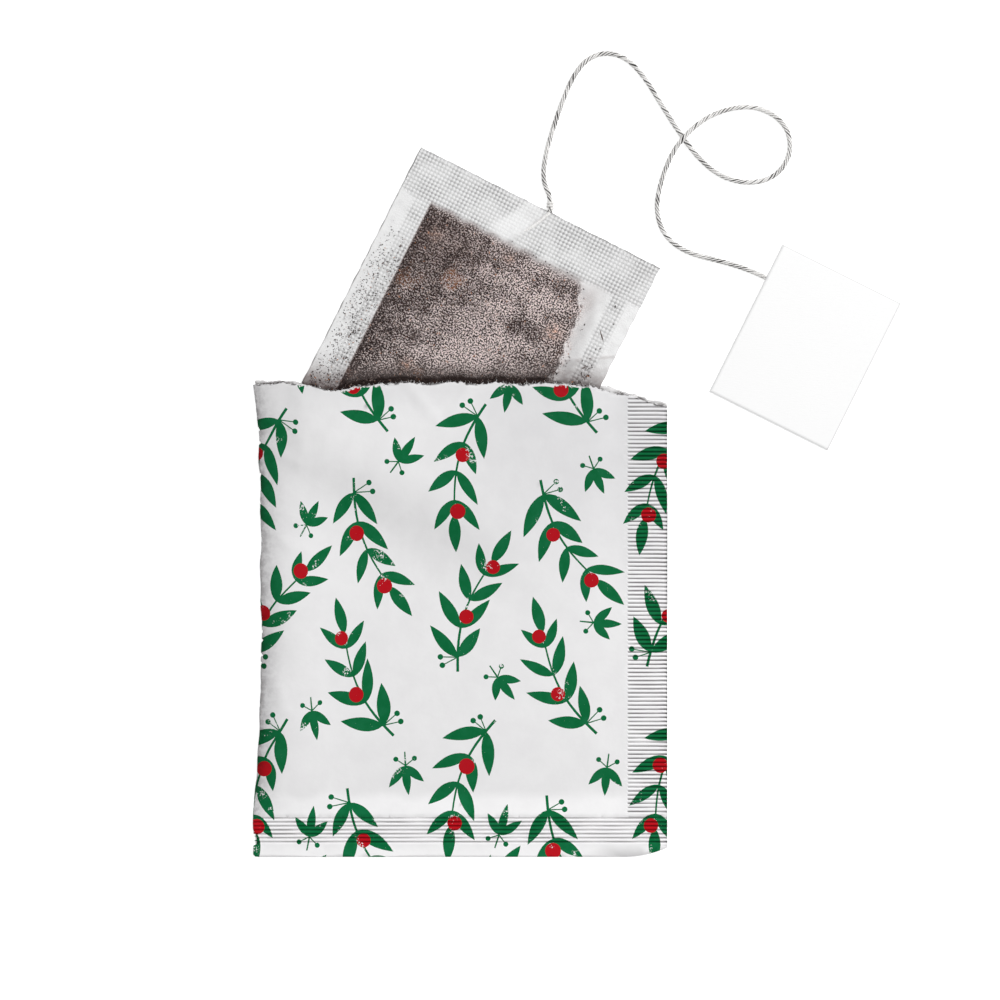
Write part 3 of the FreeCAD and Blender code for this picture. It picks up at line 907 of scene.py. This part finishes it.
def ribHeight(x, y):
    # how far the crimped seals stand up or dip at their ribs
    sideStart = chamberBottom + wrap["sidePitch"] / 2
    sidePhase = np.mod((y - sideStart) / wrap["sidePitch"], 1.0)
    lowStart = wrap["sealMargin"] - mouthHeight
    lowPhase = (y - lowStart) / wrap["bottomPitch"]
    profile = (wrap["ribPlaces"], wrap["ribLevels"])
    side = np.interp(sidePhase, *profile) * smooth((x - chamberRight) / 0.3) * (y > chamberBottom)
    inLow = (lowPhase > 0) & (lowPhase < wrap["bottomRibs"]) & (y <= chamberBottom)
    lower = np.interp(np.mod(lowPhase, 1.0), *profile) * inLow
    return wrap["ribDepth"] * (side + lower)


def frontHeight(x, y):
    # height of the printed outer side above the surface it lies on
    z = 2 * wrap["paper"] + wallGap(x, y)
    fromFold = np.clip((x - chamberLeft) / 4.2, 0, 1)
    inside = (1 - (1 - fromFold) ** 2) * smooth((y - chamberBottom) / 5) * smooth((chamberRight - x) / 6)
    z = z + wrap["foldSwell"] * inside * (1 - smooth((x - chamberLeft - 3) / 16))
    fine = 0.012 + 0.022 * np.exp(-np.abs(mouthHeight - y) / 6)
    waves = 0.03 * ripple(x, y, 16.0, 61) + 0.024 * ripple(x, y, 5.0, 62) + fine * ripple(x, y, 1.8, 65)
    z = z + waves * inside
    for a, b, height, width in wrapCreases:
        distance, t = lineDistance(x, y, a, b)
        z = z + height * np.exp(-(distance / width) ** 2) * (1 - 0.5 * t) * np.maximum(inside, 0.45)
    return z + ribHeight(x, y)


def leafOutline(x, y, heading, length, width, curl):
    # a pointed leaf, widest before its middle, bent a little to one side
    t = np.linspace(0, 1, 10)
    half = width / 2 * np.sin(math.pi * t ** 0.85) ** 0.9
    bend = curl * length * t ** 2
    left = np.stack([t * length, bend + half], 1)
    right = np.stack([t[-2:0:-1] * length, bend[-2:0:-1] - half[-2:0:-1]], 1)
    points = np.concatenate([left, right])
    c = math.cos(heading)
    s = math.sin(heading)
    return np.stack([x + points[:, 0] * c - points[:, 1] * s, y + points[:, 0] * s + points[:, 1] * c], 1)


def disc(x, y, radius, sides=16):
    angles = np.arange(sides) * 2 * math.pi / sides
    return np.stack([x + radius * np.cos(angles), y + radius * np.sin(angles)], 1)


def isInside(places, outline):
    # which of these places lie inside an outline
    x = places[:, 0:1]
    y = places[:, 1:2]
    start = outline
    end = np.roll(outline, -1, axis=0)
    passes = (start[:, 1] > y) != (end[:, 1] > y)
    slope = (end[:, 0] - start[:, 0]) / (end[:, 1] - start[:, 1] + 1e-12)
    crossed = passes & (x < start[:, 0] + slope * (y - start[:, 1]))
    return crossed.sum(axis=1) % 2 == 1


def ribbon(line, start, end):
    # a stem that narrows along its way
    steps = np.gradient(line, axis=0)
    normal = np.stack([-steps[:, 1], steps[:, 0]], 1) / np.linalg.norm(steps, axis=1)[:, None]
    half = np.linspace(start, end, len(line))[:, None] / 2
    return np.concatenate([line + normal * half, (line - normal * half)[::-1]])


def stalk(place, angle, reach, width):
    tip = place + reach * np.array([math.cos(angle), math.sin(angle)])
    return tip, ribbon(np.linspace(place, tip, 3), width, width * 0.8)


def bud(place, angle, reach, radius):
    tip, stem = stalk(place, angle, reach, 0.22)
    return [("green", stem), ("green", disc(*tip, radius, 12))]


printLook = {
    "columns": 5, "columnStep": 17.6, "rowStep": 27.0, "scatter": 0.8, "lean": 0.42, "stem": 21.5,
    "bend": 0.30, "twigTries": 14, "twigRoom": 0.7,
}


def sprig(rng, x, y, heading, length, bend):
    # a curved stem from its middle out, with pairs of leaves, two round berries and small buds
    share = np.linspace(0, 1, 17)
    turning = heading + bend * np.cos(math.pi * share)
    steps = np.stack([np.cos(turning), np.sin(turning)], 1) * length / len(share)
    line = np.cumsum(steps, axis=0)
    line = line - line[8] + np.array([x, y])
    shapes = [("green", ribbon(line, 0.5, 0.26))]
    side = 1 if rng.uniform() < 0.5 else -1
    for order, i in enumerate((2, 6, 10, 14)):
        size = rng.uniform(7.0, 8.4) * (1 - 0.05 * order)
        for way in (1, -1):
            angle = turning[i] + way * rng.uniform(0.68, 0.84)
            wide = size * rng.uniform(0.27, 0.31)
            long = size * rng.uniform(0.85, 1.05)
            shapes.append(("green", leafOutline(*line[i], angle, long, wide, -way * rng.uniform(0.03, 0.12))))
        side = -side
        away = turning[i] + side * rng.uniform(1.75, 1.95)
        if order in (1, 3):
            tip, stem = stalk(line[i], turning[i] + side * 0.3, rng.uniform(2.0, 2.3), 0.26)
            shapes.append(("red", disc(*tip, rng.uniform(1.2, 1.4))))
        elif order == 0:
            for turn in (-0.25, 0.25):
                shapes += bud(line[i], away + turn, rng.uniform(2.6, 3.6), 0.5)
    shapes.append(("green", leafOutline(*line[-1], turning[-1], 6.6, 2.1, 0.04)))
    return shapes


def twig(rng, x, y, heading):
    # three small leaves and two buds, to fill the gaps
    shapes = []
    place = np.array([x, y])
    for turn, length in ((-0.75, 4.4), (0.0, 5.2), (0.75, 4.4)):
        shapes.append(("green", leafOutline(x, y, heading + turn, length * rng.uniform(0.9, 1.1), 1.5, 0.05)))
    tip, stem = stalk(place, heading + math.pi, 2.4, 0.3)
    shapes.append(("green", stem))
    for way in (1, -1):
        shapes += bud(place, heading + way * 2.2, 2.0, 0.45)
    return shapes


def roomAround(shapes, added):
    # the least distance between the outlines placed so far and some new ones
    points = np.concatenate([shape for colour, shape in added])
    placed = np.concatenate([shape for colour, shape in shapes])
    placed = placed[np.linalg.norm(placed - points[0], axis=1) < 12]
    if not len(placed):
        return 12.0
    return float(np.linalg.norm(placed[:, None] - points[None], axis=2).min())


def printShapes():
    # sprigs in columns, every other column shifted by half a step and leaning the other way
    rng = np.random.default_rng(23)
    loose = printLook["scatter"]
    shapes = []
    gaps = []
    for column in range(printLook["columns"]):
        odd = column % 2
        for row in range(-1, 4):
            x = -35 + printLook["columnStep"] * column + rng.uniform(-loose, loose)
            y = -26 + printLook["rowStep"] * (row + odd / 2) + rng.uniform(-loose, loose)
            up = 1 if (column + row) % 2 else -1
            lean = printLook["lean"] if odd else -printLook["lean"]
            heading = up * math.pi / 2 + lean + rng.uniform(-0.15, 0.15)
            shapes += sprig(rng, x, y, heading, printLook["stem"], printLook["bend"] * up)
            gaps.append((x + 8.8, y + 13.2, up * 0.4))
    for x, y, heading in gaps:
        tries = [twig(rng, x + rng.uniform(-3, 3), y + rng.uniform(-3, 3), heading + rng.uniform(-1.5, 1.5))
                 for k in range(printLook["twigTries"])]
        rooms = [roomAround(shapes, shape) for shape in tries]
        best = int(np.argmax(rooms))
        if rooms[best] > printLook["twigRoom"]:
            shapes += tries[best]
    return shapes


def insideSheet(left, shapes, margin):
    # only the shapes that reach the sheet
    low = np.array([left - margin, -mouthHeight - margin])
    high = np.array([halfWidth + margin, mouthHeight + 1 + margin])
    return [(colour, points) for colour, points in shapes
            if np.all(points.max(axis=0) > low) and np.all(points.min(axis=0) < high)]


def sheetOutline(left, edge, fine):
    # the sheet's cut: bottom with its lifted corner, side, torn top from right to left
    right = halfWidth
    start = right - wrap["cornerReach"]
    steps = np.linspace(0, 1, 8)
    corner = np.stack([start + wrap["cornerReach"] * steps, wrap["cornerRise"] * steps ** 2 - mouthHeight], 1)
    rng = np.random.default_rng(fine)
    xs = np.arange(right - 0.02, left + 0.02, -0.27)
    jag = rng.uniform(-0.06, 0.06, len(xs))
    torn = np.stack([xs, edge(np.maximum(xs, -halfWidth)) + jag], 1)
    down = np.arange(torn[-1][1], 1 - mouthHeight, -1.2)
    side = np.stack([np.full_like(down, left), down], 1)
    return np.concatenate([[(left, -mouthHeight)], corner, torn, side])


def ribLines(left, top):
    # a line along every bend of the ribs in both seals: its height, its start and its points' spacing
    places = wrap["ribPlaces"][:-1]
    lines = []
    y = chamberBottom + wrap["sidePitch"] / 2
    while y < top:
        lines += [(y + place * wrap["sidePitch"], chamberRight, 1.4) for place in places]
        y += wrap["sidePitch"]
    low = wrap["sealMargin"] - mouthHeight
    for i in range(wrap["bottomRibs"]):
        lines += [(low + (i + place) * wrap["bottomPitch"], left + 0.03, 1.6) for place in places]
    return lines


def sheetPoints(outline, left, shapes, step):
    # the points and edges that the sheet's triangles have to follow
    points = []
    edges = []
    for shape in [outline] + [shape for colour, shape in shapes]:
        base = len(points)
        points += [tuple(point) for point in shape]
        edges += [(base + i, base + (i + 1) % len(shape)) for i in range(len(shape))]
    top = mouthHeight + 2
    end = halfWidth - 0.03
    for y, start, spacing in ribLines(left, top):
        xs = [start, *np.linspace(start + 0.3, end, max(2, int((end - start) / spacing) + 1))]
        base = len(points)
        points += [(float(x), float(y)) for x in xs]
        edges += [(base + i, base + i + 1) for i in range(len(xs) - 1)]
    if left < chamberLeft:
        for share in np.linspace(0.12, 0.88, 6):
            x = left + (chamberLeft - left) * share
            points += [(float(x), float(y)) for y in np.arange(0.4 - mouthHeight, top, 0.8)]
    rng = np.random.default_rng(5)
    xs, ys = np.meshgrid(np.arange(chamberLeft + 0.02, chamberRight + 0.01, step),
                         np.arange(chamberBottom, top, step), indexing="ij")
    xs = xs + rng.uniform(-0.15, 0.15, xs.shape) * step
    ys = ys + rng.uniform(-0.15, 0.15, ys.shape) * step
    points += [(float(x), float(y)) for x, y in zip(xs.ravel(), ys.ravel())]
    return points, edges


def sheetMesh(outline, left, shapes, step):
    # triangles that follow the cut, the ribs and the print's outlines, and each one's ink: 1 green, 2 red
    points, edges = sheetPoints(outline, left, shapes, step)
    result = geometry.delaunay_2d_cdt([Vector(point) for point in points], edges, [], 0, 1e-5, False)
    flat = np.array([point[:] for point in result[0]])
    triangles = np.array([face[:] for face in result[2]])
    triangles = triangles[isInside(flat[triangles].mean(axis=1), outline)]
    middles = flat[triangles].mean(axis=1)
    inks = np.zeros(len(triangles), dtype=int)
    for colour, shape in shapes:
        around = (middles > shape.min(axis=0)) & (middles < shape.max(axis=0))
        near = np.nonzero(np.all(around, axis=1))[0]
        covered = near[isInside(middles[near], shape)]
        inks[covered] = np.maximum(inks[covered], 2 if colour == "red" else 1)
    used, numbers = np.unique(triangles, return_inverse=True)
    return flat[used], [tuple(map(int, face)) for face in numbers.reshape(-1, 3)], inks


def bendRound(flat, left):
    # the flat sheet's points in space: past the fold line it goes round to the underside
    x = flat[:, 0].copy()
    y = flat[:, 1]
    z = frontHeight(np.maximum(x, chamberLeft), y)
    radius = frontHeight(np.full_like(y, chamberLeft), y) / 2
    early = math.radians(wrap["foldStart"])
    turn = early + np.clip((chamberLeft - x) / (chamberLeft - left), 0, 1) * (math.pi - early)
    sideways = (np.sin(turn) - math.sin(early)) / (1 - math.sin(early))
    falling = (1 + np.cos(turn)) / (1 + math.cos(early))
    pastFold = x < chamberLeft
    x = np.where(pastFold, chamberLeft - foldRadius * sideways, x)
    z = np.where(pastFold, 2 * radius * falling, z)
    z = np.maximum(z, 0.0)
    return np.stack([sidePull(x, y), y, z], 1)


def solidSheet(points, triangles, thickness):
    # a second skin below the first, and a rim between them
    mesh = bpy.data.meshes.new("scratch")
    mesh.from_pydata([tuple(point) for point in points], [], triangles)
    normals = np.array([vertex.normal[:] for vertex in mesh.vertices])
    bpy.data.meshes.remove(mesh)
    lower = points - normals * thickness
    lower[:, 2] = np.maximum(lower[:, 2], 0.0)
    count = len(points)
    edges = dict.fromkeys(edge for face in triangles for edge in zip(face, face[1:] + face[:1]))
    faces = list(triangles)
    faces += [tuple(v + count for v in reversed(face)) for face in triangles]
    faces += [(b, a, a + count, b + count) for a, b in edges if (b, a) not in edges]
    return np.concatenate([points, lower]), faces


def inkOver(tree, place, paper, green, red, torn):
    # ink misses a few spots, mostly in patches, and is gone where the paper is torn
    fine = noiseAt(tree, place, 0.30, 2.0, 0.7)
    patch = ramp(tree, noiseAt(tree, place, 3.2), 0.55, 0.72, 0.0, 0.22)
    miss = mathNode(tree, "SUBTRACT", mathNode(tree, "SUBTRACT", fine, patch), times(tree, torn, 0.55))
    cover = ramp(tree, miss, 0.20, 0.26)
    tone = ramp(tree, noiseAt(tree, place, 1.6, 3.0), 0.3, 0.7, 0.0, 0.45)
    greenInk = mixColour(tree, tone, wrap["green"], wrap["greenPale"])
    redInk = mixColour(tree, tone, wrap["red"], wrap["redPale"])
    colour = mixColour(tree, times(tree, green, cover), paper, greenInk)
    return mixColour(tree, times(tree, red, cover), colour, redInk)


def makePrinted():
    material, tree, shader = newMaterial("printedPaper", 0.7, 0.08)
    place = millimetres(tree)
    fibre = placeGroup(tree, paperFibre, place, Size=0.5)
    ink = tree.nodes.new("ShaderNodeAttribute")
    ink.attribute_name = "ink"
    parts = tree.nodes.new("ShaderNodeSeparateColor")
    tree.links.new(ink.outputs["Color"], parts.inputs[0])
    green, red, valleyShade = parts.outputs
    torn = ink.outputs["Alpha"]
    clouds = ramp(tree, fibre["Clouds"], 0.3, 0.7, 0.0, 0.5)
    colour = mixColour(tree, clouds, wrap["colour"], wrap["cloudy"])
    colour = inkOver(tree, place, colour, green, red, torn)
    # painted shade over the upper right and along the mouth, whiter in the seals (partly the paper's layers,
    # partly painted sheen), painted shade at the fold and in the ribs' valleys
    foldShadeShare = ramp(tree, noiseAt(tree, place, 1.1, 3.0, 0.65), 0.35, 0.65, 0.55, 1.0)
    foldShadeShare = times(tree, readAttribute(tree, "fold"), foldShadeShare)
    valleyShade = ramp(tree, valleyShade, 0.05, 0.75)
    for name, share in (("dull", readAttribute(tree, "dull")), ("pressed", readAttribute(tree, "pressed")),
                        ("foldShade", foldShadeShare), ("valleyShade", valleyShade)):
        colour = mixColour(tree, share, colour, wrap[name], "MULTIPLY")
    # painted shadow along the torn rim, dark in short stretches
    stretches = ramp(tree, noiseAt(tree, place, 1.5), 0.47, 0.55, 0.05, 0.9)
    colour = mixColour(tree, times(tree, ramp(tree, torn, 0.55, 0.90), stretches), colour, wrap["rim"])
    tree.links.new(colour, shader.inputs["Base Color"])
    bumpInto(tree, shader, fibre["Clouds"], 0.10, 0.7)
    return material


def makePlainPaper():
    material, tree, shader = newMaterial("plainPaper", 0.8)
    fibre = placeGroup(tree, paperFibre, millimetres(tree), Size=0.4)["Fibres"]
    colour = mixColour(tree, ramp(tree, fibre, 0.1, 0.9, 0.0, 0.4), wrap["inside"], wrap["insideFibre"])
    # painted shadow on the back sheet under the front's torn edge
    colour = mixColour(tree, readAttribute(tree, "paintedShadow"), colour, bagLook["shadow"])
    tree.links.new(colour, shader.inputs["Base Color"])
    bumpInto(tree, shader, fibre, 0.04, 0.6)
    return material


def paintInk(piece, triangles, inks, flat):
    # green, red, the painted shade of the ribs' valleys and the torn edge as one colour for each face corner
    mesh = piece.data
    x, y = flat.T
    valleyShade = np.clip(-ribHeight(x, y) / wrap["ribDepth"], 0, 1)
    uneven = 0.86 + 0.25 * ripple(x, y * 4, 9.0, 79)
    valleyShade = valleyShade * uneven * np.where(y <= chamberBottom, 0.72, 1.0)
    torn = 1 - smooth((tear(np.maximum(x, -halfWidth)) - y - 0.05) / 0.35)
    corners = len(mesh.loops)
    count = len(flat)
    vertices = np.zeros(corners, dtype=np.int32)
    mesh.loops.foreach_get("vertex_index", vertices)
    shown = (np.arange(corners) < 3 * len(triangles)) & (vertices < count)
    nearest = np.minimum(vertices, count - 1)
    values = np.zeros((corners, 4), dtype=np.float32)
    for ink in (1, 2):
        values[:3 * len(inks), ink - 1] = np.repeat(inks == ink, 3)
    values[:, 2] = np.where(shown, valleyShade[nearest], 0)
    values[:, 3] = np.where(shown, torn[nearest], 1)
    layer = mesh.color_attributes.new("ink", "FLOAT_COLOR", "CORNER")
    layer.data.foreach_set("color", values.ravel())


def makeFront(printed, plain):
    left = chamberLeft - math.pi * foldRadius
    outline = sheetOutline(left, tear, 71)
    flat, triangles, inks = sheetMesh(outline, left, insideSheet(left, printShapes(), 0.5), wrap["grid"])
    solid, faces = solidSheet(bendRound(flat, left), triangles, wrap["sheet"])
    piece = meshPiece("envelopeFront", solid, faces, printed, "envelope")
    piece.data.materials.append(plain)
    slots = np.zeros(len(piece.data.polygons), dtype=np.int32)
    slots[len(triangles):] = 1
    piece.data.polygons.foreach_set("material_index", slots)
    paintInk(piece, triangles, inks, flat)
    x, y = flat.T
    # whiter seals: partly the paper's several layers, partly painted sheen
    low = smooth((chamberBottom + 5 + 0.4 * ripple(x, y, 6.0, 66) - y) / 2.5)
    addAttribute(piece, "pressed", np.maximum(low, smooth((x - chamberRight) / 0.3)))
    # painted shade over the upper right and along the mouth
    dull = smooth((y + 2) / 34) * smooth((x + 8) / 22)
    alongMouth = 0.6 * np.exp(-((mouthHeight - y) / 4) ** 2) * smooth((x + 33) / 6)
    addAttribute(piece, "dull", np.maximum(dull, alongMouth))
    # painted shade along the fold
    addAttribute(piece, "fold", np.exp(-np.maximum(x - chamberLeft, 0) / 1.6) * (y > chamberBottom))
    print("envelope front", len(faces), "faces")


def sidePull(x, y):
    above = np.clip(y / mouthHeight, 0, 1) ** 4
    below = np.clip(y / (chamberBottom - 1), 0, 1) ** 2.4
    pull = wrap["sidePull"] * (1 - above - below) + 0.12 * ripple(y, y * 0, 7.0, 63)
    return x + pull * (1 - smooth((x - chamberLeft) / 24))


def makeBack(plain):
    # the underside, drawn up against the front in the two seals
    outline = sheetOutline(chamberLeft, backTear, 75)
    xs = np.arange(0.5 - halfWidth, halfWidth - 0.5, 0.25)
    gapY = tear(xs) + 0.14
    gap = [("gap", ribbon(np.stack([xs, gapY], 1), width, width)) for width in (0.16, 0.50)]
    flat, triangles, inks = sheetMesh(outline, chamberLeft, gap, 1.6)
    x, y = flat.T
    sealed = np.maximum(smooth((x - chamberRight) / 1.0), smooth((chamberBottom - y) / 1.0))
    sealed = sealed * smooth((x - chamberLeft - 0.2) / 1.2)
    under = sealTop - wrap["sheet"] - 0.16 + ribHeight(x, y)
    z = 0.13 + under * sealed + 0.02 * ripple(x, y, 3.0, 64) * (1 - sealed)
    solid, faces = solidSheet(np.stack([sidePull(x, y), y, z], 1), triangles, 0.1)
    solid[len(flat):, 2] = 0.005
    piece = meshPiece("envelopeBack", solid, faces, plain, None)
    # painted shadow in the gap under the torn edge, broken, and widest by the fold
    byFold = smooth((8 - halfWidth - x) / 3)
    broken = 0.12 + 0.88 * smooth(0.5 + 1.6 * ripple(x, x * 0, 2.4, 78) + 0.5 * byFold)
    paintedShadow = np.exp(-((y - tear(x) - 0.14) / (0.19 + 0.10 * byFold)) ** 2) * broken
    addAttribute(piece, "paintedShadow", np.concatenate([paintedShadow, y * 0]))
    print("envelope back", len(faces), "faces")


def makeTornFibres(plain):
    # hairs of paper standing out from the torn edge, on the front and the back
    rng = np.random.default_rng(77)
    count = wrap["fibres"]
    x = rng.uniform(-halfWidth + 0.3, halfWidth - 0.3, count)
    front = rng.uniform(0, 1, count) < 0.65
    y = np.where(front, tear(x), backTear(x)) + rng.uniform(-0.15, 0.1, count)
    z = np.where(front, frontHeight(x, np.minimum(y, tear(x))) - 0.06, 0.08)
    length = rng.uniform(0.25, 0.8, count) * rng.uniform(0.5, 1.0, count)
    heading = math.pi / 2 + rng.normal(0, 0.9, count)
    width = rng.uniform(0.025, 0.055, count)
    points = []
    for share, half in ((-0.3, 1.0), (0.4, 0.8), (1.0, 0.15)):
        bend = heading + 0.5 * share * rng.normal(0, 1, count)
        cx = x + np.cos(bend) * length * share
        cy = y + np.sin(bend) * length * share
        cz = z + 0.12 * share * rng.uniform(-0.6, 1, count) * front
        for k in range(3):
            angle = 2 * math.pi * k / 3
            sideways = half * width * math.cos(angle)
            points.append(np.stack([cx - np.sin(bend) * sideways, cy + np.cos(bend) * sideways,
                                    cz + half * width * math.sin(angle)], 1))
    points = np.stack(points, 1).reshape(-1, 3)
    faces = []
    for start in range(0, count * 9, 9):
        for ring in (0, 3):
            for k in range(3):
                a, b = start + ring + k, start + ring + (k + 1) % 3
                faces.append((a, b, b + 3, a + 3))
        faces += [(start + 2, start + 1, start), (start + 6, start + 7, start + 8)]
    meshPiece("tornFibres", points, faces, plain, None)


makeBagFilm()
makeTeaFill(makeTea())
makeGrains(makeGrainMaterial())
makeStringTail()
plainPaper = makePlainPaper()
makeFront(makePrinted(), plainPaper)
makeBack(plainPaper)
makeTornFibres(plainPaper)

tagLook = {
    "tilt": 26.5, "thickness": 0.48, "bevel": 0.45, "drop": 0.13, "step": 0.8,
    "colour": (0.945, 0.945, 0.945, 1), "fibre": (0.92, 0.92, 0.92, 1), "rim": (0.72, 0.72, 0.72, 1),
}


def makeCard():
    material, tree, shader = newMaterial("whiteCard", 0.7)
    fibre = placeGroup(tree, paperFibre, millimetres(tree), Size=0.35)["Fibres"]
    colour = mixColour(tree, ramp(tree, fibre, 0.2, 0.9, 0.0, 0.35), tagLook["colour"], tagLook["fibre"])
    # painted shade along the card's edges
    colour = mixColour(tree, ramp(tree, readAttribute(tree, "rim"), 0.0, 1.0), colour, tagLook["rim"])
    tree.links.new(colour, shader.inputs["Base Color"])
    bumpInto(tree, shader, fibre, 0.02, 0.5)
    return material


def withRim(size, step, rim):
    # even steps with one more close to each end
    return np.array([0.0, *np.linspace(rim, size - rim, int(size / step)), size])


def makeTag():
    tag = leaningFrame("tag", tagLook["tilt"])
    width = tag["width"]
    length = tag["length"]
    across, along = np.meshgrid(withRim(width, tagLook["step"], tagLook["bevel"]),
                                withRim(length, tagLook["step"], tagLook["bevel"]), indexing="ij")
    x, y = leanOut(tag, across, along)
    edge = np.minimum(np.minimum(across, width - across), np.minimum(along, length - along))
    rim = edge < 0.01
    upper = tagLook["thickness"] + 0.015 * ripple(x, y, 12.0, 81) - tagLook["drop"] * rim
    lower = np.zeros_like(upper) + 0.01 + 0.1 * rim
    points, faces = closedSheets(np.stack([x, y, upper], -1), np.stack([x, y, lower], -1))
    card = meshPiece("tagCard", points, faces, makeCard(), "tag", False)
    # the edge points carry the painted shade
    addAttribute(card, "rim", rim)
    print("tag done")


makeTag()

stageLook = {     # metres and watts
    "floor": (0.88, 0.88, 0.88, 1), "lift": 0.62, "reach": 3.0, "world": 0.50, "key": 4.4, "fill": 0.5,
    "aim": (0, 0.02, 0),
}


def makeFloor():
    reach = stageLook["reach"]
    mesh = bpy.data.meshes.new("floor")
    mesh.from_pydata([(-reach, -reach, 0), (reach, -reach, 0), (reach, reach, 0), (-reach, reach, 0)], [],
                     [(0, 1, 2, 3)])
    floor = intoScene("floor", mesh)
    material = bpy.data.materials.new("floor")
    material.use_nodes = True
    tree = material.node_tree
    tree.nodes.clear()
    diffuse = tree.nodes.new("ShaderNodeBsdfDiffuse")
    diffuse.inputs["Color"].default_value = stageLook["floor"]
    # brighter to the camera and in reflections than as a light on the object
    path = tree.nodes.new("ShaderNodeLightPath").outputs
    seen = mathNode(tree, "MAXIMUM", path["Is Camera Ray"], path["Is Glossy Ray"])
    seen = mathNode(tree, "MAXIMUM", seen, path["Is Transmission Ray"])
    glow = tree.nodes.new("ShaderNodeEmission")
    tree.links.new(times(tree, seen, stageLook["lift"]), glow.inputs["Strength"])
    both = tree.nodes.new("ShaderNodeAddShader")
    feed(tree, both.inputs, (diffuse.outputs[0], glow.outputs[0]))
    out = tree.nodes.new("ShaderNodeOutputMaterial")
    tree.links.new(both.outputs[0], out.inputs["Surface"])
    mesh.materials.append(material)


def makeLamp(name, place, size, power):
    data = bpy.data.lights.new(name, "AREA")
    data.size = size
    data.energy = power
    lamp = intoScene(name, data)
    lamp.location = place
    lamp.rotation_euler = (Vector(stageLook["aim"]) - Vector(place)).to_track_quat("-Z", "Y").to_euler()


def makeLight():
    world = bpy.data.worlds.new("world")
    bpy.context.scene.world = world
    world.use_nodes = True
    tree = world.node_tree
    back = tree.nodes["Background"].inputs
    path = tree.nodes.new("ShaderNodeLightPath").outputs
    seen = mathNode(tree, "MAXIMUM", path["Is Camera Ray"], path["Is Transmission Ray"])
    tree.links.new(mixNumber(tree, seen, stageLook["world"], 1.0), back["Strength"])
    back["Color"].default_value = (1, 1, 1, 1)
    makeLamp("key", (0.45, 0.37, 0.62), 0.30, stageLook["key"])
    makeLamp("fill", (-0.6, -0.3, 0.7), 0.8, stageLook["fill"])
    bpy.context.scene.view_settings.view_transform = "Standard"


makeFloor()
makeLight()
